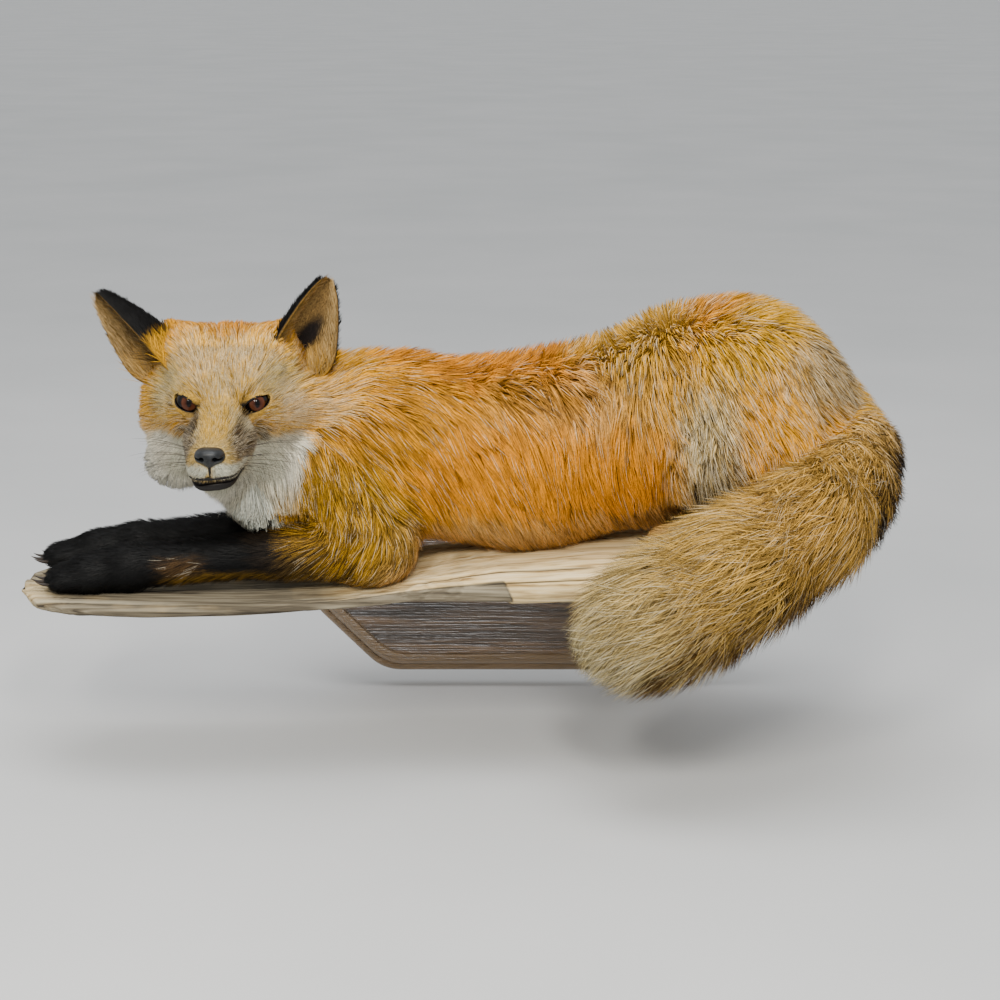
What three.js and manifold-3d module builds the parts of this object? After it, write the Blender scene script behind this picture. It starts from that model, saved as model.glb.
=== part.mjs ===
// A life-size red fox mount. The fox lies along a driftwood slab with its head turned out from
// the wall, and a stub of the slab's own branch carries it on a wooden panel with clipped corners.
//
// Frame: millimetres, +Z up, +X from the paws towards the rump, +Y into the wall.
// The origin is the middle of the panel's back face, which lies flat on the wall.
//
// The fox's outline is a field of tapered capsules, one for each bone or muscle, with the coat's
// outer radius at both ends, blended where they meet. A skin is a loft whose rings are where rays
// sent out from its axis leave that field. Skins are parted into named pieces by planes or by a
// limb's own capsule, and each piece is cut back from its neighbours to leave a thin gap.

import * as THREE from "three";
import { mergeVertices } from "three/addons/utils/BufferGeometryUtils.js";
import Module from "manifold-3d";

const wasm = await Module();
wasm.setup();

const GAP = 0.4; // clear space left between two pieces that meet at a plane
const CLEAR = 0.8; // a skin grows by this before a neighbour is cut back, as its flat faces cut corners
const SLIVER = 0.15; // faces that stand proud by less than this are merged
const BODY_BLEND = 26; // how softly two muscles run into each other on the body
const LEG_BLEND = 10;
const FACE_BLEND = 12;

const vec = (x, y, z) => new THREE.Vector3(x, y, z);
const between = (a, b, share) => a.clone().lerp(b, share);
const count = (n, make) => Array.from({ length: n }, (_, i) => make(i));

// ---------------------------------------------------------------- fields

// A tapered capsule from one joint to the next. thin narrows it across the wall direction (Y),
// as a ribcage is deeper than it is wide.
const limb = (from, to, fromRadius, toRadius = fromRadius, thin = 1) => ({
  from,
  to,
  fromRadius,
  toRadius,
  thin,
});

function distanceToLimb(point, part) {
  const offset = point.clone().sub(part.from);
  const bone = part.to.clone().sub(part.from);
  offset.y /= part.thin;
  bone.y /= part.thin;
  const along = THREE.MathUtils.clamp(offset.dot(bone) / Math.max(bone.lengthSq(), 1e-9), 0, 1);
  const radius = THREE.MathUtils.lerp(part.fromRadius, part.toRadius, along);
  return offset.addScaledVector(bone, -along).length() - radius;
}

// Two distances joined with a fillet of about the blend's width.
function softMin(a, b, blend) {
  const share = Math.max(blend - Math.abs(a - b), 0) / blend;
  return Math.min(a, b) - (share * share * blend) / 4;
}

const fieldOf = (limbs, blend) => (point) =>
  limbs.reduce((nearest, part) => softMin(nearest, distanceToLimb(point, part), blend), 1e6);

// ---------------------------------------------------------------- lofts

const FARTHEST = 140; // no part of the coat is further than this from its skin's axis
const STRIDE = 4; // steps along a ray before the surface is closed in on
const ROUND_ROWS = 3; // rows in a skin's round end

// Where a ray that starts inside the field passes out of it. level moves the surface outwards.
function surfaceAlong(field, start, direction, level) {
  const at = (reach) => start.clone().addScaledVector(direction, reach);
  let inside = 0;
  while (inside < FARTHEST && field(at(inside + STRIDE)) < level) inside += STRIDE;
  let outside = inside + STRIDE;
  while (outside - inside > 0.01) {
    const middle = (inside + outside) / 2;
    if (field(at(middle)) > level) outside = middle;
    else inside = middle;
  }
  return at(Math.max(inside, 0.4));
}

// A closed skin over rows of points, each row a ring, with a point at each end.
function closeRows(rows, firstPole, lastPole) {
  const around = rows[0].length;
  const points = [firstPole, ...rows.flat(), lastPole];
  const end = 1 + (rows.length - 1) * around;
  const faces = [];
  for (let i = 0; i < around; i++) {
    const next = (i + 1) % around;
    faces.push(0, 1 + next, 1 + i);
    for (let near = 1; near < end; near += around) {
      const far = near + around;
      faces.push(near + i, near + next, far + i);
      faces.push(near + next, far + next, far + i);
    }
    faces.push(end + i, end + next, points.length - 1);
  }
  const geometry = new THREE.BufferGeometry().setFromPoints(points);
  geometry.setIndex(faces);
  return geometry;
}

// The skin of a field round an axis of points, with round ends whose rays fan out to a pole.
function skin(field, axisPoints, rings, around, level) {
  const axis = new THREE.CatmullRomCurve3(axisPoints, false, "centripetal");
  const ray = (t, direction) => surfaceAlong(field, axis.getPointAt(t), direction, level);
  const row = (t, tilt) => {
    const ahead = axis.getTangentAt(t);
    const side = ahead.clone().cross(vec(0, 0, 1)).normalize();
    const top = side.clone().cross(ahead);
    return count(around, (i) => {
      const turn = (i / around) * 2 * Math.PI;
      const direction = side
        .clone()
        .multiplyScalar(Math.cos(turn) * Math.cos(tilt))
        .addScaledVector(top, Math.sin(turn) * Math.cos(tilt))
        .addScaledVector(ahead, Math.sin(tilt));
      return ray(t, direction);
    });
  };
  const tilts = count(ROUND_ROWS, (i) => ((i + 1) / (ROUND_ROWS + 1)) * (Math.PI / 2));
  const rows = [
    ...tilts.toReversed().map((tilt) => row(0, -tilt)),
    ...count(rings + 1, (i) => row(i / rings, 0)),
    ...tilts.map((tilt) => row(1, tilt)),
  ];
  return solidOf(closeRows(rows, ray(0, axis.getTangentAt(0).negate()), ray(1, axis.getTangentAt(1))));
}

// ---------------------------------------------------------------- solids

const turnedInsideOut = (faces) => faces.map((_, i) => faces[i - (i % 3) + [0, 2, 1][i % 3]]);

function solidOf(geometry) {
  const bare = geometry.clone();
  bare.deleteAttribute("normal");
  bare.deleteAttribute("uv");
  const merged = mergeVertices(bare, 1e-3);
  const triVerts = new Uint32Array(merged.index.array);
  const vertProperties = merged.attributes.position.array;
  const solid = new wasm.Manifold(new wasm.Mesh({ numProp: 3, vertProperties, triVerts }));
  if (solid.volume() > 0) return solid;
  const turned = { numProp: 3, vertProperties, triVerts: turnedInsideOut(triVerts) };
  return new wasm.Manifold(new wasm.Mesh(turned));
}

function geometryOf(solid) {
  const mesh = solid.getMesh();
  const geometry = new THREE.BufferGeometry();
  geometry.setAttribute("position", new THREE.BufferAttribute(mesh.vertProperties, 3));
  geometry.setIndex(new THREE.BufferAttribute(mesh.triVerts, 1));
  geometry.computeVertexNormals();
  return geometry;
}

const joined = (solids) => wasm.Manifold.union(solids);
const biggest = (solid) =>
  solid.decompose().reduce((best, next) => (next.volume() > best.volume() ? next : best));

// Parts a solid at planes that follow one another, with a gap at each.
function parted(whole, planes) {
  const pieces = [];
  let rest = whole;
  for (const { at, along } of planes) {
    const normal = along.clone().normalize();
    const offset = normal.dot(at);
    const back = normal.clone().negate();
    pieces.push(rest.trimByPlane(back.toArray(), GAP / 2 - offset));
    rest = rest.trimByPlane(normal.toArray(), offset + GAP / 2);
  }
  return [...pieces, rest];
}

const mount = new THREE.Group();
const placed = []; // what is there already, each grown a little, for the next to be cut back from

function place(name, material, solid) {
  const clear = placed.reduce((left, neighbour) => left.subtract(neighbour), solid);
  const mesh = new THREE.Mesh(geometryOf(biggest(clear.simplify(SLIVER))), material);
  mesh.name = name;
  mount.add(mesh);
}

// Places what shape(0) makes, and keeps later pieces clear of shape(CLEAR).
function placeWhole(name, material, shape) {
  place(name, material, shape(0));
  placed.push(shape(CLEAR));
}

const coat = (color) => new THREE.MeshStandardMaterial({ color, roughness: 0.92, metalness: 0 });
const RED_COAT = coat(0xc98a3c);
const PALE_COAT = coat(0xcdb890);
const BLACK_COAT = coat(0x1d1716);
const TAIL_COAT = coat(0xb08d5c);
const GLASS = new THREE.MeshStandardMaterial({ color: 0x6b3a1c, roughness: 0.05, metalness: 0 });
const NOSE = new THREE.MeshStandardMaterial({ color: 0x191b1d, roughness: 0.45, metalness: 0 });
const WEATHERED = new THREE.MeshStandardMaterial({ color: 0xb7a992, roughness: 0.9, metalness: 0 });
const STAINED = new THREE.MeshStandardMaterial({ color: 0x6e5a44, roughness: 0.5, metalness: 0 });

// ---------------------------------------------------------------- wall panel

const PANEL_WIDTH = 380;
const PANEL_HEIGHT = 250;
const PANEL_THICK = 19;
const PANEL_CLIP = 60; // each corner is cut off at 45 degrees, this far along both edges
const PANEL_ROUND = 16; // the ends of the cut are eased over this length
// The routed edge: how far the outline has drawn in at each height off the wall.
const PANEL_EDGE = [
  { inset: 0, height: 0 },
  { inset: 0, height: 8 },
  { inset: 2.2, height: 10.6 },
  { inset: 7.2, height: 12 },
  { inset: 7.6, height: 14 },
  { inset: 10, height: 17 },
  { inset: 14.6, height: PANEL_THICK },
];

function panelOutline(inset) {
  const halfWidth = PANEL_WIDTH / 2 - inset;
  const halfHeight = PANEL_HEIGHT / 2 - inset;
  const clip = PANEL_CLIP - inset * (2 - Math.SQRT2);
  const quarter = [
    [halfWidth - clip, halfHeight],
    [halfWidth, halfHeight - clip],
  ];
  const corners = [
    ...quarter,
    ...quarter.toReversed().map(([x, z]) => [x, -z]),
    ...quarter.map(([x, z]) => [-x, -z]),
    ...quarter.toReversed().map(([x, z]) => [-x, z]),
  ].map(([x, z]) => new THREE.Vector2(x, z));
  return corners.flatMap((corner, i) => {
    const before = corners.at(i - 1);
    const after = corners[(i + 1) % corners.length];
    const start = corner.clone().lerp(before, PANEL_ROUND / corner.distanceTo(before));
    const end = corner.clone().lerp(after, PANEL_ROUND / corner.distanceTo(after));
    return new THREE.QuadraticBezierCurve(start, corner, end).getPoints(2);
  });
}

function panel(level) {
  const rows = PANEL_EDGE.map(({ inset, height }) => {
    const lift = height === PANEL_THICK ? level : 0;
    return panelOutline(inset - level).map((p) => vec(p.x, -height - lift, p.y));
  });
  return solidOf(closeRows(rows, vec(0, 0, 0), vec(0, -PANEL_THICK - level, 0)));
}

placeWhole("plaque", STAINED, panel);

// ---------------------------------------------------------------- driftwood

// The slab's sections from the paws' end to the rump's end: where along X, its front and back
// in Y, and its underside and top in Z.
const SLAB = [
  { x: -386, front: -198, back: -160, under: 0, top: 6 },
  { x: -376, front: -226, back: -134, under: -8, top: 6 },
  { x: -345, front: -238, back: -118, under: -12, top: 4 },
  { x: -290, front: -241, back: -114, under: -13, top: 3 },
  { x: -215, front: -239, back: -110, under: -11, top: 3 },
  { x: -150, front: -235, back: -106, under: -8, top: 6 },
  { x: -95, front: -231, back: -102, under: -5, top: 15 },
  { x: -31, front: -233, back: -98, under: -7, top: 26 },
  { x: 43, front: -237, back: -94, under: -4, top: 31 },
  { x: 130, front: -242, back: -92, under: -1, top: 33 },
  { x: 186, front: -240, back: -98, under: 4, top: 31 },
  { x: 214, front: -224, back: -112, under: 8, top: 27 },
];
const SLAB_AROUND = 16;
const SLAB_SQUARE = 0.7; // below 1 the section's corners fill out towards a worn plank's

// The stub of a branch that runs back from the slab to the panel, sawn flat where it is bolted on.
const STUB_X = 24;
const STUB_Z = 6;
const STUB_RADIUS = 26;
const STUB_FRONT = -150;
const STUB_SPREAD = 1.2; // how much wider it is at the slab than at the panel

function driftwood(level) {
  const middle = ({ front, back, under, top }) => [(front + back) / 2, (under + top) / 2];
  const rows = SLAB.map((section) => {
    const [middleY, middleZ] = middle(section);
    const halfY = (section.back - section.front) / 2 + level;
    const halfZ = (section.top - section.under) / 2 + level;
    return count(SLAB_AROUND, (i) => {
      const turn = (i / SLAB_AROUND) * 2 * Math.PI;
      const full = (value) => Math.sign(value) * Math.abs(value) ** SLAB_SQUARE;
      const y = middleY + halfY * full(Math.cos(turn));
      return vec(section.x, y, middleZ + halfZ * full(Math.sin(turn)));
    });
  });
  const tip = (section, beyond) => vec(section.x + beyond, ...middle(section));
  const slab = closeRows(rows, tip(SLAB[0], -3 - level), tip(SLAB.at(-1), 3 + level));
  const stubBack = -PANEL_THICK - GAP;
  const stub = new THREE.CylinderGeometry(
    STUB_RADIUS + level,
    STUB_RADIUS * STUB_SPREAD + level,
    stubBack - STUB_FRONT,
    16,
  );
  stub.translate(STUB_X, (stubBack + STUB_FRONT) / 2, STUB_Z);
  return joined([solidOf(slab), solidOf(stub)]);
}

placeWhole("driftwood", WEATHERED, driftwood);

// ---------------------------------------------------------------- the fox's outline

const BODY_Y = -150; // the fox's middle plane, along the wall

const trunkLimbs = [
  limb(vec(-112, BODY_Y, 100), vec(-10, BODY_Y, 97), 72, 74, 0.9), // ribcage
  limb(vec(-10, BODY_Y, 97), vec(80, BODY_Y, 110), 74, 72, 0.88), // belly
  limb(vec(40, BODY_Y, 117), vec(118, BODY_Y, 142), 66, 68, 0.86), // loin
  limb(vec(112, BODY_Y, 139), vec(146, BODY_Y, 142), 70, 76, 0.9), // pelvis
  limb(vec(150, BODY_Y, 132), vec(200, BODY_Y, 114), 62, 56, 0.95), // rump
  limb(vec(120, BODY_Y, 90), vec(205, BODY_Y, 88), 52, 42), // groin
  limb(vec(-140, -154, 96), vec(-166, -164, 78), 62, 46), // breastbone
];
const neckLimbs = [
  limb(vec(-110, BODY_Y, 108), vec(-206, -168, 122), 64, 54),
  limb(vec(-222, -198, 106), vec(-212, -186, 84), 36, 34), // throat
  limb(vec(-195, -182, 108), vec(-203, -186, 67), 36, 30), // bib
];

// The near legs are the fox's left ones, and its right ones lie towards the wall.
const toesOf = (ankle, tip, rootShare, spread) =>
  [-1.5, -0.5, 0.5, 1.5].map((toe) => {
    const root = between(ankle, tip, rootShare).add(vec(0, toe * spread * 0.75, -2));
    const end = tip.clone().add(vec(Math.abs(toe) * 4, toe * spread, -1));
    return limb(root, end, 9.5, 8.5);
  });

const foreleg = (shoulder, elbow, wrist, tip) => {
  const middle = between(elbow, wrist, 0.4);
  return {
    upper: [limb(shoulder, elbow, 45, 33)],
    lower: [limb(elbow, middle, 32, 20), limb(middle, wrist, 20, 18)],
    paw: [limb(wrist, between(wrist, tip, 0.5), 18, 17), ...toesOf(wrist, tip, 0.45, 8.5)],
    wrist,
    tip,
  };
};
const hindleg = (hip, knee, hock, tip) => ({
  thigh: [limb(hip, knee, 64, 38, 0.64), limb(between(hip, hock, 0.4), knee, 44, 30, 0.8)],
  shank: [limb(knee, hock, 28, 20)],
  paw: [limb(hock, between(hock, tip, 0.75), 19, 16), ...toesOf(hock, tip, 0.7, 8)],
  hip,
  knee,
  hock,
  tip,
});
const acrossBody = (point) => vec(point.x, 2 * BODY_Y - point.y, point.z);
const HIND_JOINTS = [vec(164, -184, 143), vec(132, -204, 92), vec(208, -208, 54), vec(84, -212, 45)];
const legs = {
  foreLeft: foreleg(vec(-150, -182, 92), vec(-122, -203, 38), vec(-306, -205, 21), vec(-361, -205, 14)),
  foreRight: foreleg(vec(-150, -118, 92), vec(-122, -102, 36), vec(-306, -142, 22), vec(-374, -146, 15)),
  hindLeft: hindleg(...HIND_JOINTS),
  hindRight: hindleg(...HIND_JOINTS.map(acrossBody)),
};

// The tail's middle line and the coat's radius along it.
const TAIL = [
  { at: vec(200, BODY_Y, 112), radius: 30 },
  { at: vec(225, -164, 107), radius: 30 },
  { at: vec(231, -192, 100), radius: 35 },
  { at: vec(217, -230, 85), radius: 43 },
  { at: vec(190, -260, 69), radius: 51 },
  { at: vec(138, -282, 41), radius: 55 },
  { at: vec(90, -286, 11), radius: 55 },
  { at: vec(59, -284, -5), radius: 44 },
];

// The head's own frame starts midway between the eyes: ahead of it, to the fox's left, and up.
const EYE_MIDDLE = vec(-229, -235, 150);
const HEAD_YAW = THREE.MathUtils.degToRad(2); // turned this much from facing straight off the wall
const HEAD_PITCH = THREE.MathUtils.degToRad(1.5); // nose down
const headTurn = new THREE.Euler(HEAD_PITCH, 0, -HEAD_YAW, "ZXY");
const inHead = (ahead, left, up) => vec(left, -ahead, up).applyEuler(headTurn).add(EYE_MIDDLE);
const bothSides = (make) => [1, -1].map(make);

const skullLimbs = [
  limb(inHead(-26, 0, 7), inHead(-58, 0, 7), 30, 44), // braincase
  ...bothSides((side) => limb(inHead(-46, 30 * side, 28), inHead(-62, 28 * side, 20), 21, 30)), // temples
  ...bothSides((side) => limb(inHead(-15, 18 * side, 13), inHead(-42, 27 * side, 20), 17, 24)), // forehead
  ...bothSides((side) => limb(inHead(-14, 29 * side, -6), inHead(-50, 45 * side, -2), 15, 27)), // cheekbones
  ...bothSides((side) => limb(inHead(-18, 25 * side, -15), inHead(-50, 46 * side, -22), 21, 28)), // cheeks
  ...bothSides((side) => limb(inHead(-22, 16 * side, -36), inHead(-48, 36 * side, -52), 19, 28)), // jowls
  ...bothSides((side) => limb(inHead(-8, 17 * side, 10), inHead(-22, 26 * side, 12), 8.5, 13)), // brows
  limb(inHead(-56, 28, 32), inHead(-59, 38, 44), 16, 11), // the crown's fur at the left ear
  limb(inHead(-56, -28, 30), inHead(-60, -46, 42), 17, 12), // and at the right one, which is laid out
  limb(inHead(-34, 48, -10), inHead(-58, 76, -12), 22, 23), // left ruff, pushed out by the turned neck
  limb(inHead(-8, 0, -46), inHead(-46, 4, -60), 15, 27), // throat
  limb(inHead(4, -8, -53), inHead(-24, -4, -68), 13, 19), // throat's fur, under the chin
  limb(inHead(0, 0, -12), inHead(47, 0, -27), 21, 12.5), // muzzle
  ...bothSides((side) => limb(inHead(14, 13 * side, -24), inHead(44, 8 * side, -31), 14.5, 10.5)), // lips
];
const jawLimbs = bothSides((side) => limb(inHead(-14, 6 * side, -36), inHead(42, 5 * side, -41.5), 16, 9));

const thighLimbs = [...legs.hindLeft.thigh, ...legs.hindRight.thigh];
const armLimbs = [...legs.foreLeft.upper, ...legs.foreRight.upper];
const bodyField = fieldOf([...trunkLimbs, ...neckLimbs, ...thighLimbs, ...armLimbs], BODY_BLEND);
const headField = fieldOf([...skullLimbs, ...jawLimbs], FACE_BLEND);

// ---------------------------------------------------------------- nose, eyes and head

const NOSE_RADIUS = 9.6;
const NOSE_FLAT = 0.78; // its height against its width
const EYE_RADIUS = 10;
const EYE_SIDE = 23.4; // each eye's middle, off the head's middle plane
const EYE_DEEP = 5.5; // its middle, behind the line between the lids

const ball = (centre, radius, flat = 1) => {
  const geometry = new THREE.SphereGeometry(radius, 10, 7);
  geometry.scale(1, 1, flat);
  geometry.applyMatrix4(new THREE.Matrix4().makeRotationFromEuler(headTurn));
  geometry.translate(...centre.toArray());
  return solidOf(geometry);
};

placeWhole("nose", NOSE, (level) => ball(inHead(56, 0, -24), NOSE_RADIUS + level, NOSE_FLAT));
// The hair parts round each eye, over a shallow socket in the face.
const sockets = joined([1, -1].map((side) => ball(inHead(7, 26.5 * side, 1), 10)));

placeWhole("eye_left", GLASS, (level) => ball(inHead(-EYE_DEEP, EYE_SIDE, 0), EYE_RADIUS + level));
placeWhole("eye_right", GLASS, (level) => ball(inHead(-EYE_DEEP, -EYE_SIDE, 0), EYE_RADIUS + level));

// The mouth runs back and a little up from under the nose to its corners.
const MOUTH_FRONT = inHead(62, 0, -41.5);
const MOUTH_CORNER = inHead(9, 0, -39.5);
const MOUTH_GAP = 0.8;

function jawBlock(level) {
  const [long, wide, deep] = [90, 60, 40];
  const block = new THREE.BoxGeometry(wide + 2 * level, long + 2 * level, deep + 2 * level);
  const tilt = Math.atan2(MOUTH_CORNER.z - MOUTH_FRONT.z, MOUTH_CORNER.y - MOUTH_FRONT.y);
  block.translate(0, -long / 2, -deep / 2);
  block.rotateX(tilt);
  block.rotateZ(-HEAD_YAW);
  block.translate(...MOUTH_CORNER.toArray());
  return solidOf(block);
}

const ALONG_HEAD = [inHead(44, 0, -27), inHead(10, 0, -18), inHead(-25, 0, -6), inHead(-58, 0, -6)];
const head = (level) => skin(headField, ALONG_HEAD, 11, 18, level);
place("head", RED_COAT, head(0).subtract(jawBlock(MOUTH_GAP)).subtract(sockets));
place("lower_jaw", PALE_COAT, head(0).intersect(jawBlock(0)));
placed.push(head(1.5 * CLEAR));

// ---------------------------------------------------------------- ears

const EAR_THICK = 4.5;
const EAR_DEEP = 1.4; // its cup's depth against half its width
const EAR_WRAP = 1.35; // radians from the middle of its back to each edge
const EAR_ROOTED = 0.12; // how much of an ear's length its root goes into the head
const EAR_ROWS = 7;
const EAR_ACROSS = 5;

// An ear is a cupped leaf from its root to its tip. Its mouth faces the way it opens.
const ear = (root, tip, opens, halfWidth) => (level) => {
  const length = root.distanceTo(tip) + level;
  const upward = tip.clone().sub(root).normalize();
  const front = opens.clone().projectOnPlane(upward).normalize();
  const across = upward.clone().cross(front);
  const leaf = (along, over, face) => {
    const up = THREE.MathUtils.clamp(along, 0, 1);
    const gather = 1 - 0.35 * Math.max(0, 1 - up / 0.35) ** 2; // its edges draw together at the root
    const taper = gather * (1 - up ** 1.25) ** 0.6;
    const width = halfWidth * taper + 1.2;
    const cup = (EAR_DEEP - 0.1 * along) * width;
    const thick = ((EAR_THICK / 2) * (1 - 0.45 * up) + level) * face;
    const turn = over * (EAR_WRAP + level / width);
    return root
      .clone()
      .addScaledVector(upward, along * length)
      .addScaledVector(across, Math.sin(turn) * (width + thick))
      .addScaledVector(front, cup * 0.5 - Math.cos(turn) * (cup + thick));
  };
  const rooted = EAR_ROOTED + level / length;
  const rows = count(EAR_ROWS + 1, (row) => {
    const overs = count(EAR_ACROSS + 1, (i) => (2 * i) / EAR_ACROSS - 1);
    const along = row ? (row - 1) / (EAR_ROWS - 1) : -rooted;
    const outer = overs.map((over) => leaf(along, over, 1));
    const inner = overs.map((over) => leaf(along, over, -1));
    return [...outer, ...inner.toReversed()];
  });
  return solidOf(closeRows(rows, leaf(-0.02 - rooted, 0, 0), leaf(1.03, 0, 0)));
};

placeWhole("ear_left", BLACK_COAT, ear(inHead(-46, 44, 14), inHead(-60, 71, 81), vec(0.5, -0.85, 0), 28));
const RIGHT_OPENS = vec(-0.72, -0.62, -0.4);
placeWhole("ear_right", BLACK_COAT, ear(inHead(-46, -50, 17), inHead(-62, -99.5, 68), RIGHT_OPENS, 31));

// ---------------------------------------------------------------- neck, trunk and thighs

const NECK_END = vec(-134, BODY_Y, 104);
const SPINE = [
  vec(-212, -186, 108),
  vec(-186, -170, 112),
  NECK_END,
  vec(-40, BODY_Y, 97),
  vec(60, BODY_Y, 104),
  vec(130, BODY_Y, 122),
  vec(192, BODY_Y, 117),
];
const PARTING = 12; // a limb's part of the body's skin reaches this far past the limb's own capsule
const LIMB_ROOT = 28; // and this near to the middle plane

const body = (level) => skin(bodyField, SPINE, 18, 20, level);
const wider = (limbs, by) =>
  limbs.map((part) => ({ ...part, fromRadius: part.fromRadius + by, toRadius: part.toRadius + by }));
const limbBlock = (limbs, level) => {
  const [first] = limbs;
  const outward = Math.sign(first.from.y - BODY_Y);
  const field = fieldOf(wider(limbs, PARTING), LEG_BLEND);
  const block = skin(field, [first.from, first.to], 3, 14, level);
  return block.trimByPlane([0, outward, 0], outward * BODY_Y + LIMB_ROOT - level);
};
const limbParts = [
  ["thigh_left", legs.hindLeft.thigh],
  ["thigh_right", legs.hindRight.thigh],
  ["upper_arm_left", legs.foreLeft.upper],
  ["upper_arm_right", legs.foreRight.upper],
];
const wholeBody = body(0);
for (const [name, limbs] of limbParts) place(name, RED_COAT, wholeBody.intersect(limbBlock(limbs, 0)));
const blocks = joined(limbParts.map(([, limbs]) => limbBlock(limbs, CLEAR)));
const [neck, trunk] = parted(wholeBody.subtract(blocks), [{ at: NECK_END, along: vec(1, 0.2, 0) }]);
place("neck", PALE_COAT, neck);
place("trunk", RED_COAT, trunk);
placed.push(body(CLEAR));

// ---------------------------------------------------------------- lower legs and paws

const CLAW_LENGTH = 11;
const CLAW_RADIUS = 1.9;

// Each toe ends in a claw that points ahead and down, with its root inside the toe.
const claws = (toes, level) =>
  toes.map(({ to, toRadius }) => {
    const claw = new THREE.ConeGeometry(CLAW_RADIUS + level, CLAW_LENGTH, 5);
    claw.rotateZ(Math.PI / 2 + 0.35);
    claw.translate(to.x - toRadius, to.y, to.z - toRadius * 0.35);
    return solidOf(claw);
  });

function placeForeleg(side, leg) {
  const elbow = leg.upper[0].to;
  const field = fieldOf([...leg.lower, ...leg.paw], LEG_BLEND);
  const whole = (level) => skin(field, [elbow, leg.wrist, leg.tip.clone().add(vec(6, 0, 0))], 10, 12, level);
  const atWrist = { at: leg.wrist, along: leg.tip.clone().sub(elbow) };
  const [forearm, paw] = parted(whole(0), [atWrist]);
  place(`forearm_${side}`, BLACK_COAT, forearm);
  place(`forepaw_${side}`, BLACK_COAT, joined([paw, ...claws(leg.paw.slice(1), 0)]));
  placed.push(joined([whole(CLEAR), ...claws(leg.paw.slice(1), CLEAR)]));
}

function placeHindleg(side, leg) {
  const shank = (level) => skin(fieldOf(leg.shank, LEG_BLEND), [leg.knee, leg.hock], 3, 10, level);
  const along = [leg.hock, leg.tip.clone().add(vec(6, 0, 0))];
  const paw = (level) => skin(fieldOf(leg.paw, LEG_BLEND), along, 6, 12, level);
  placeWhole(`shank_${side}`, BLACK_COAT, shank);
  placeWhole(`hindpaw_${side}`, BLACK_COAT, (level) => joined([paw(level), ...claws(leg.paw.slice(1), level)]));
}

placeForeleg("left", legs.foreLeft);
placeForeleg("right", legs.foreRight);
placeHindleg("left", legs.hindLeft);
placeHindleg("right", legs.hindRight);

// ---------------------------------------------------------------- tail

const tailLimbs = TAIL.slice(1).map((end, i) => limb(TAIL[i].at, end.at, TAIL[i].radius, end.radius));
const tail = skin(fieldOf(tailLimbs, BODY_BLEND), TAIL.map(({ at }) => at), 12, 14, 0);
const acrossTail = (i) => ({ at: TAIL[i].at, along: TAIL[i + 1].at.clone().sub(TAIL[i - 1].at) });
const [tailBase, tailMiddle, tailTip] = parted(tail, [acrossTail(3), acrossTail(5)]);
place("tail_base", TAIL_COAT, tailBase);
place("tail_middle", TAIL_COAT, tailMiddle);
place("tail_tip", TAIL_COAT, tailTip);

export default mount;
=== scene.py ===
# A taxidermy red fox at life size. It lies along a driftwood slab that a stub of branch carries
# on a lacquered wall panel.
#
# Frame: metres, +Z up, +X from the paws towards the rump, +Y into the wall, with the origin in
# the middle of the panel's back. Places and sizes are written in millimetres, as a maker
# measures them, and become metres where a mesh or a pattern is made.

import math
from collections import namedtuple

import bpy
import numpy as np
import openvdb
from mathutils import Euler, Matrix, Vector


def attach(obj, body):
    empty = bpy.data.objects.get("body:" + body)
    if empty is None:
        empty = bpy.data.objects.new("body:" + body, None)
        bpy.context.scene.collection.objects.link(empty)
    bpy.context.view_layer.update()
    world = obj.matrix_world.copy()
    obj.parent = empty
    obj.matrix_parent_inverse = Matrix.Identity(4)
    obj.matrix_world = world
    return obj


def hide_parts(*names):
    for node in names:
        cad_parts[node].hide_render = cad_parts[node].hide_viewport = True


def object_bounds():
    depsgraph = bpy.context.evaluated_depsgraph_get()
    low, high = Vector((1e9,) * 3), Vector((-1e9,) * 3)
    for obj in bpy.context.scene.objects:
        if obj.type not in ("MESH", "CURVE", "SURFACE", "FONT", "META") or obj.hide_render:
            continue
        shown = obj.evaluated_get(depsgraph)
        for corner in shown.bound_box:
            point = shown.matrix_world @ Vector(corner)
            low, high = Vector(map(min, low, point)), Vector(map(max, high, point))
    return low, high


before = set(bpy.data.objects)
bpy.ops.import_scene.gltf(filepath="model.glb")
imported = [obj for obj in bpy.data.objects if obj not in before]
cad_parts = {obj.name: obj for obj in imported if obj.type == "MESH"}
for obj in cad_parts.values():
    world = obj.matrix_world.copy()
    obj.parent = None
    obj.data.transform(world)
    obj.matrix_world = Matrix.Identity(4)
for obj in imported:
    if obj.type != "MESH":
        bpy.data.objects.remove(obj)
cad_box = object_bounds()

# ---------------------------------------------------------------- wall panel
# A board of softwood with clipped corners and a routed edge of two beads, stained brown and
# sprayed with clear lacquer. It is bought ready made, and the driftwood's stub is screwed to it.

MM = 0.001

PANEL_WIDTH = 380
PANEL_HEIGHT = 250
PANEL_THICK = 19
PANEL_CLIP = 60  # how far along both edges each corner is cut off, at 45 degrees
PANEL_ROUND = 16  # the ends of that cut are eased over this length
PANEL_ROUND_SPOTS = 9
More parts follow.
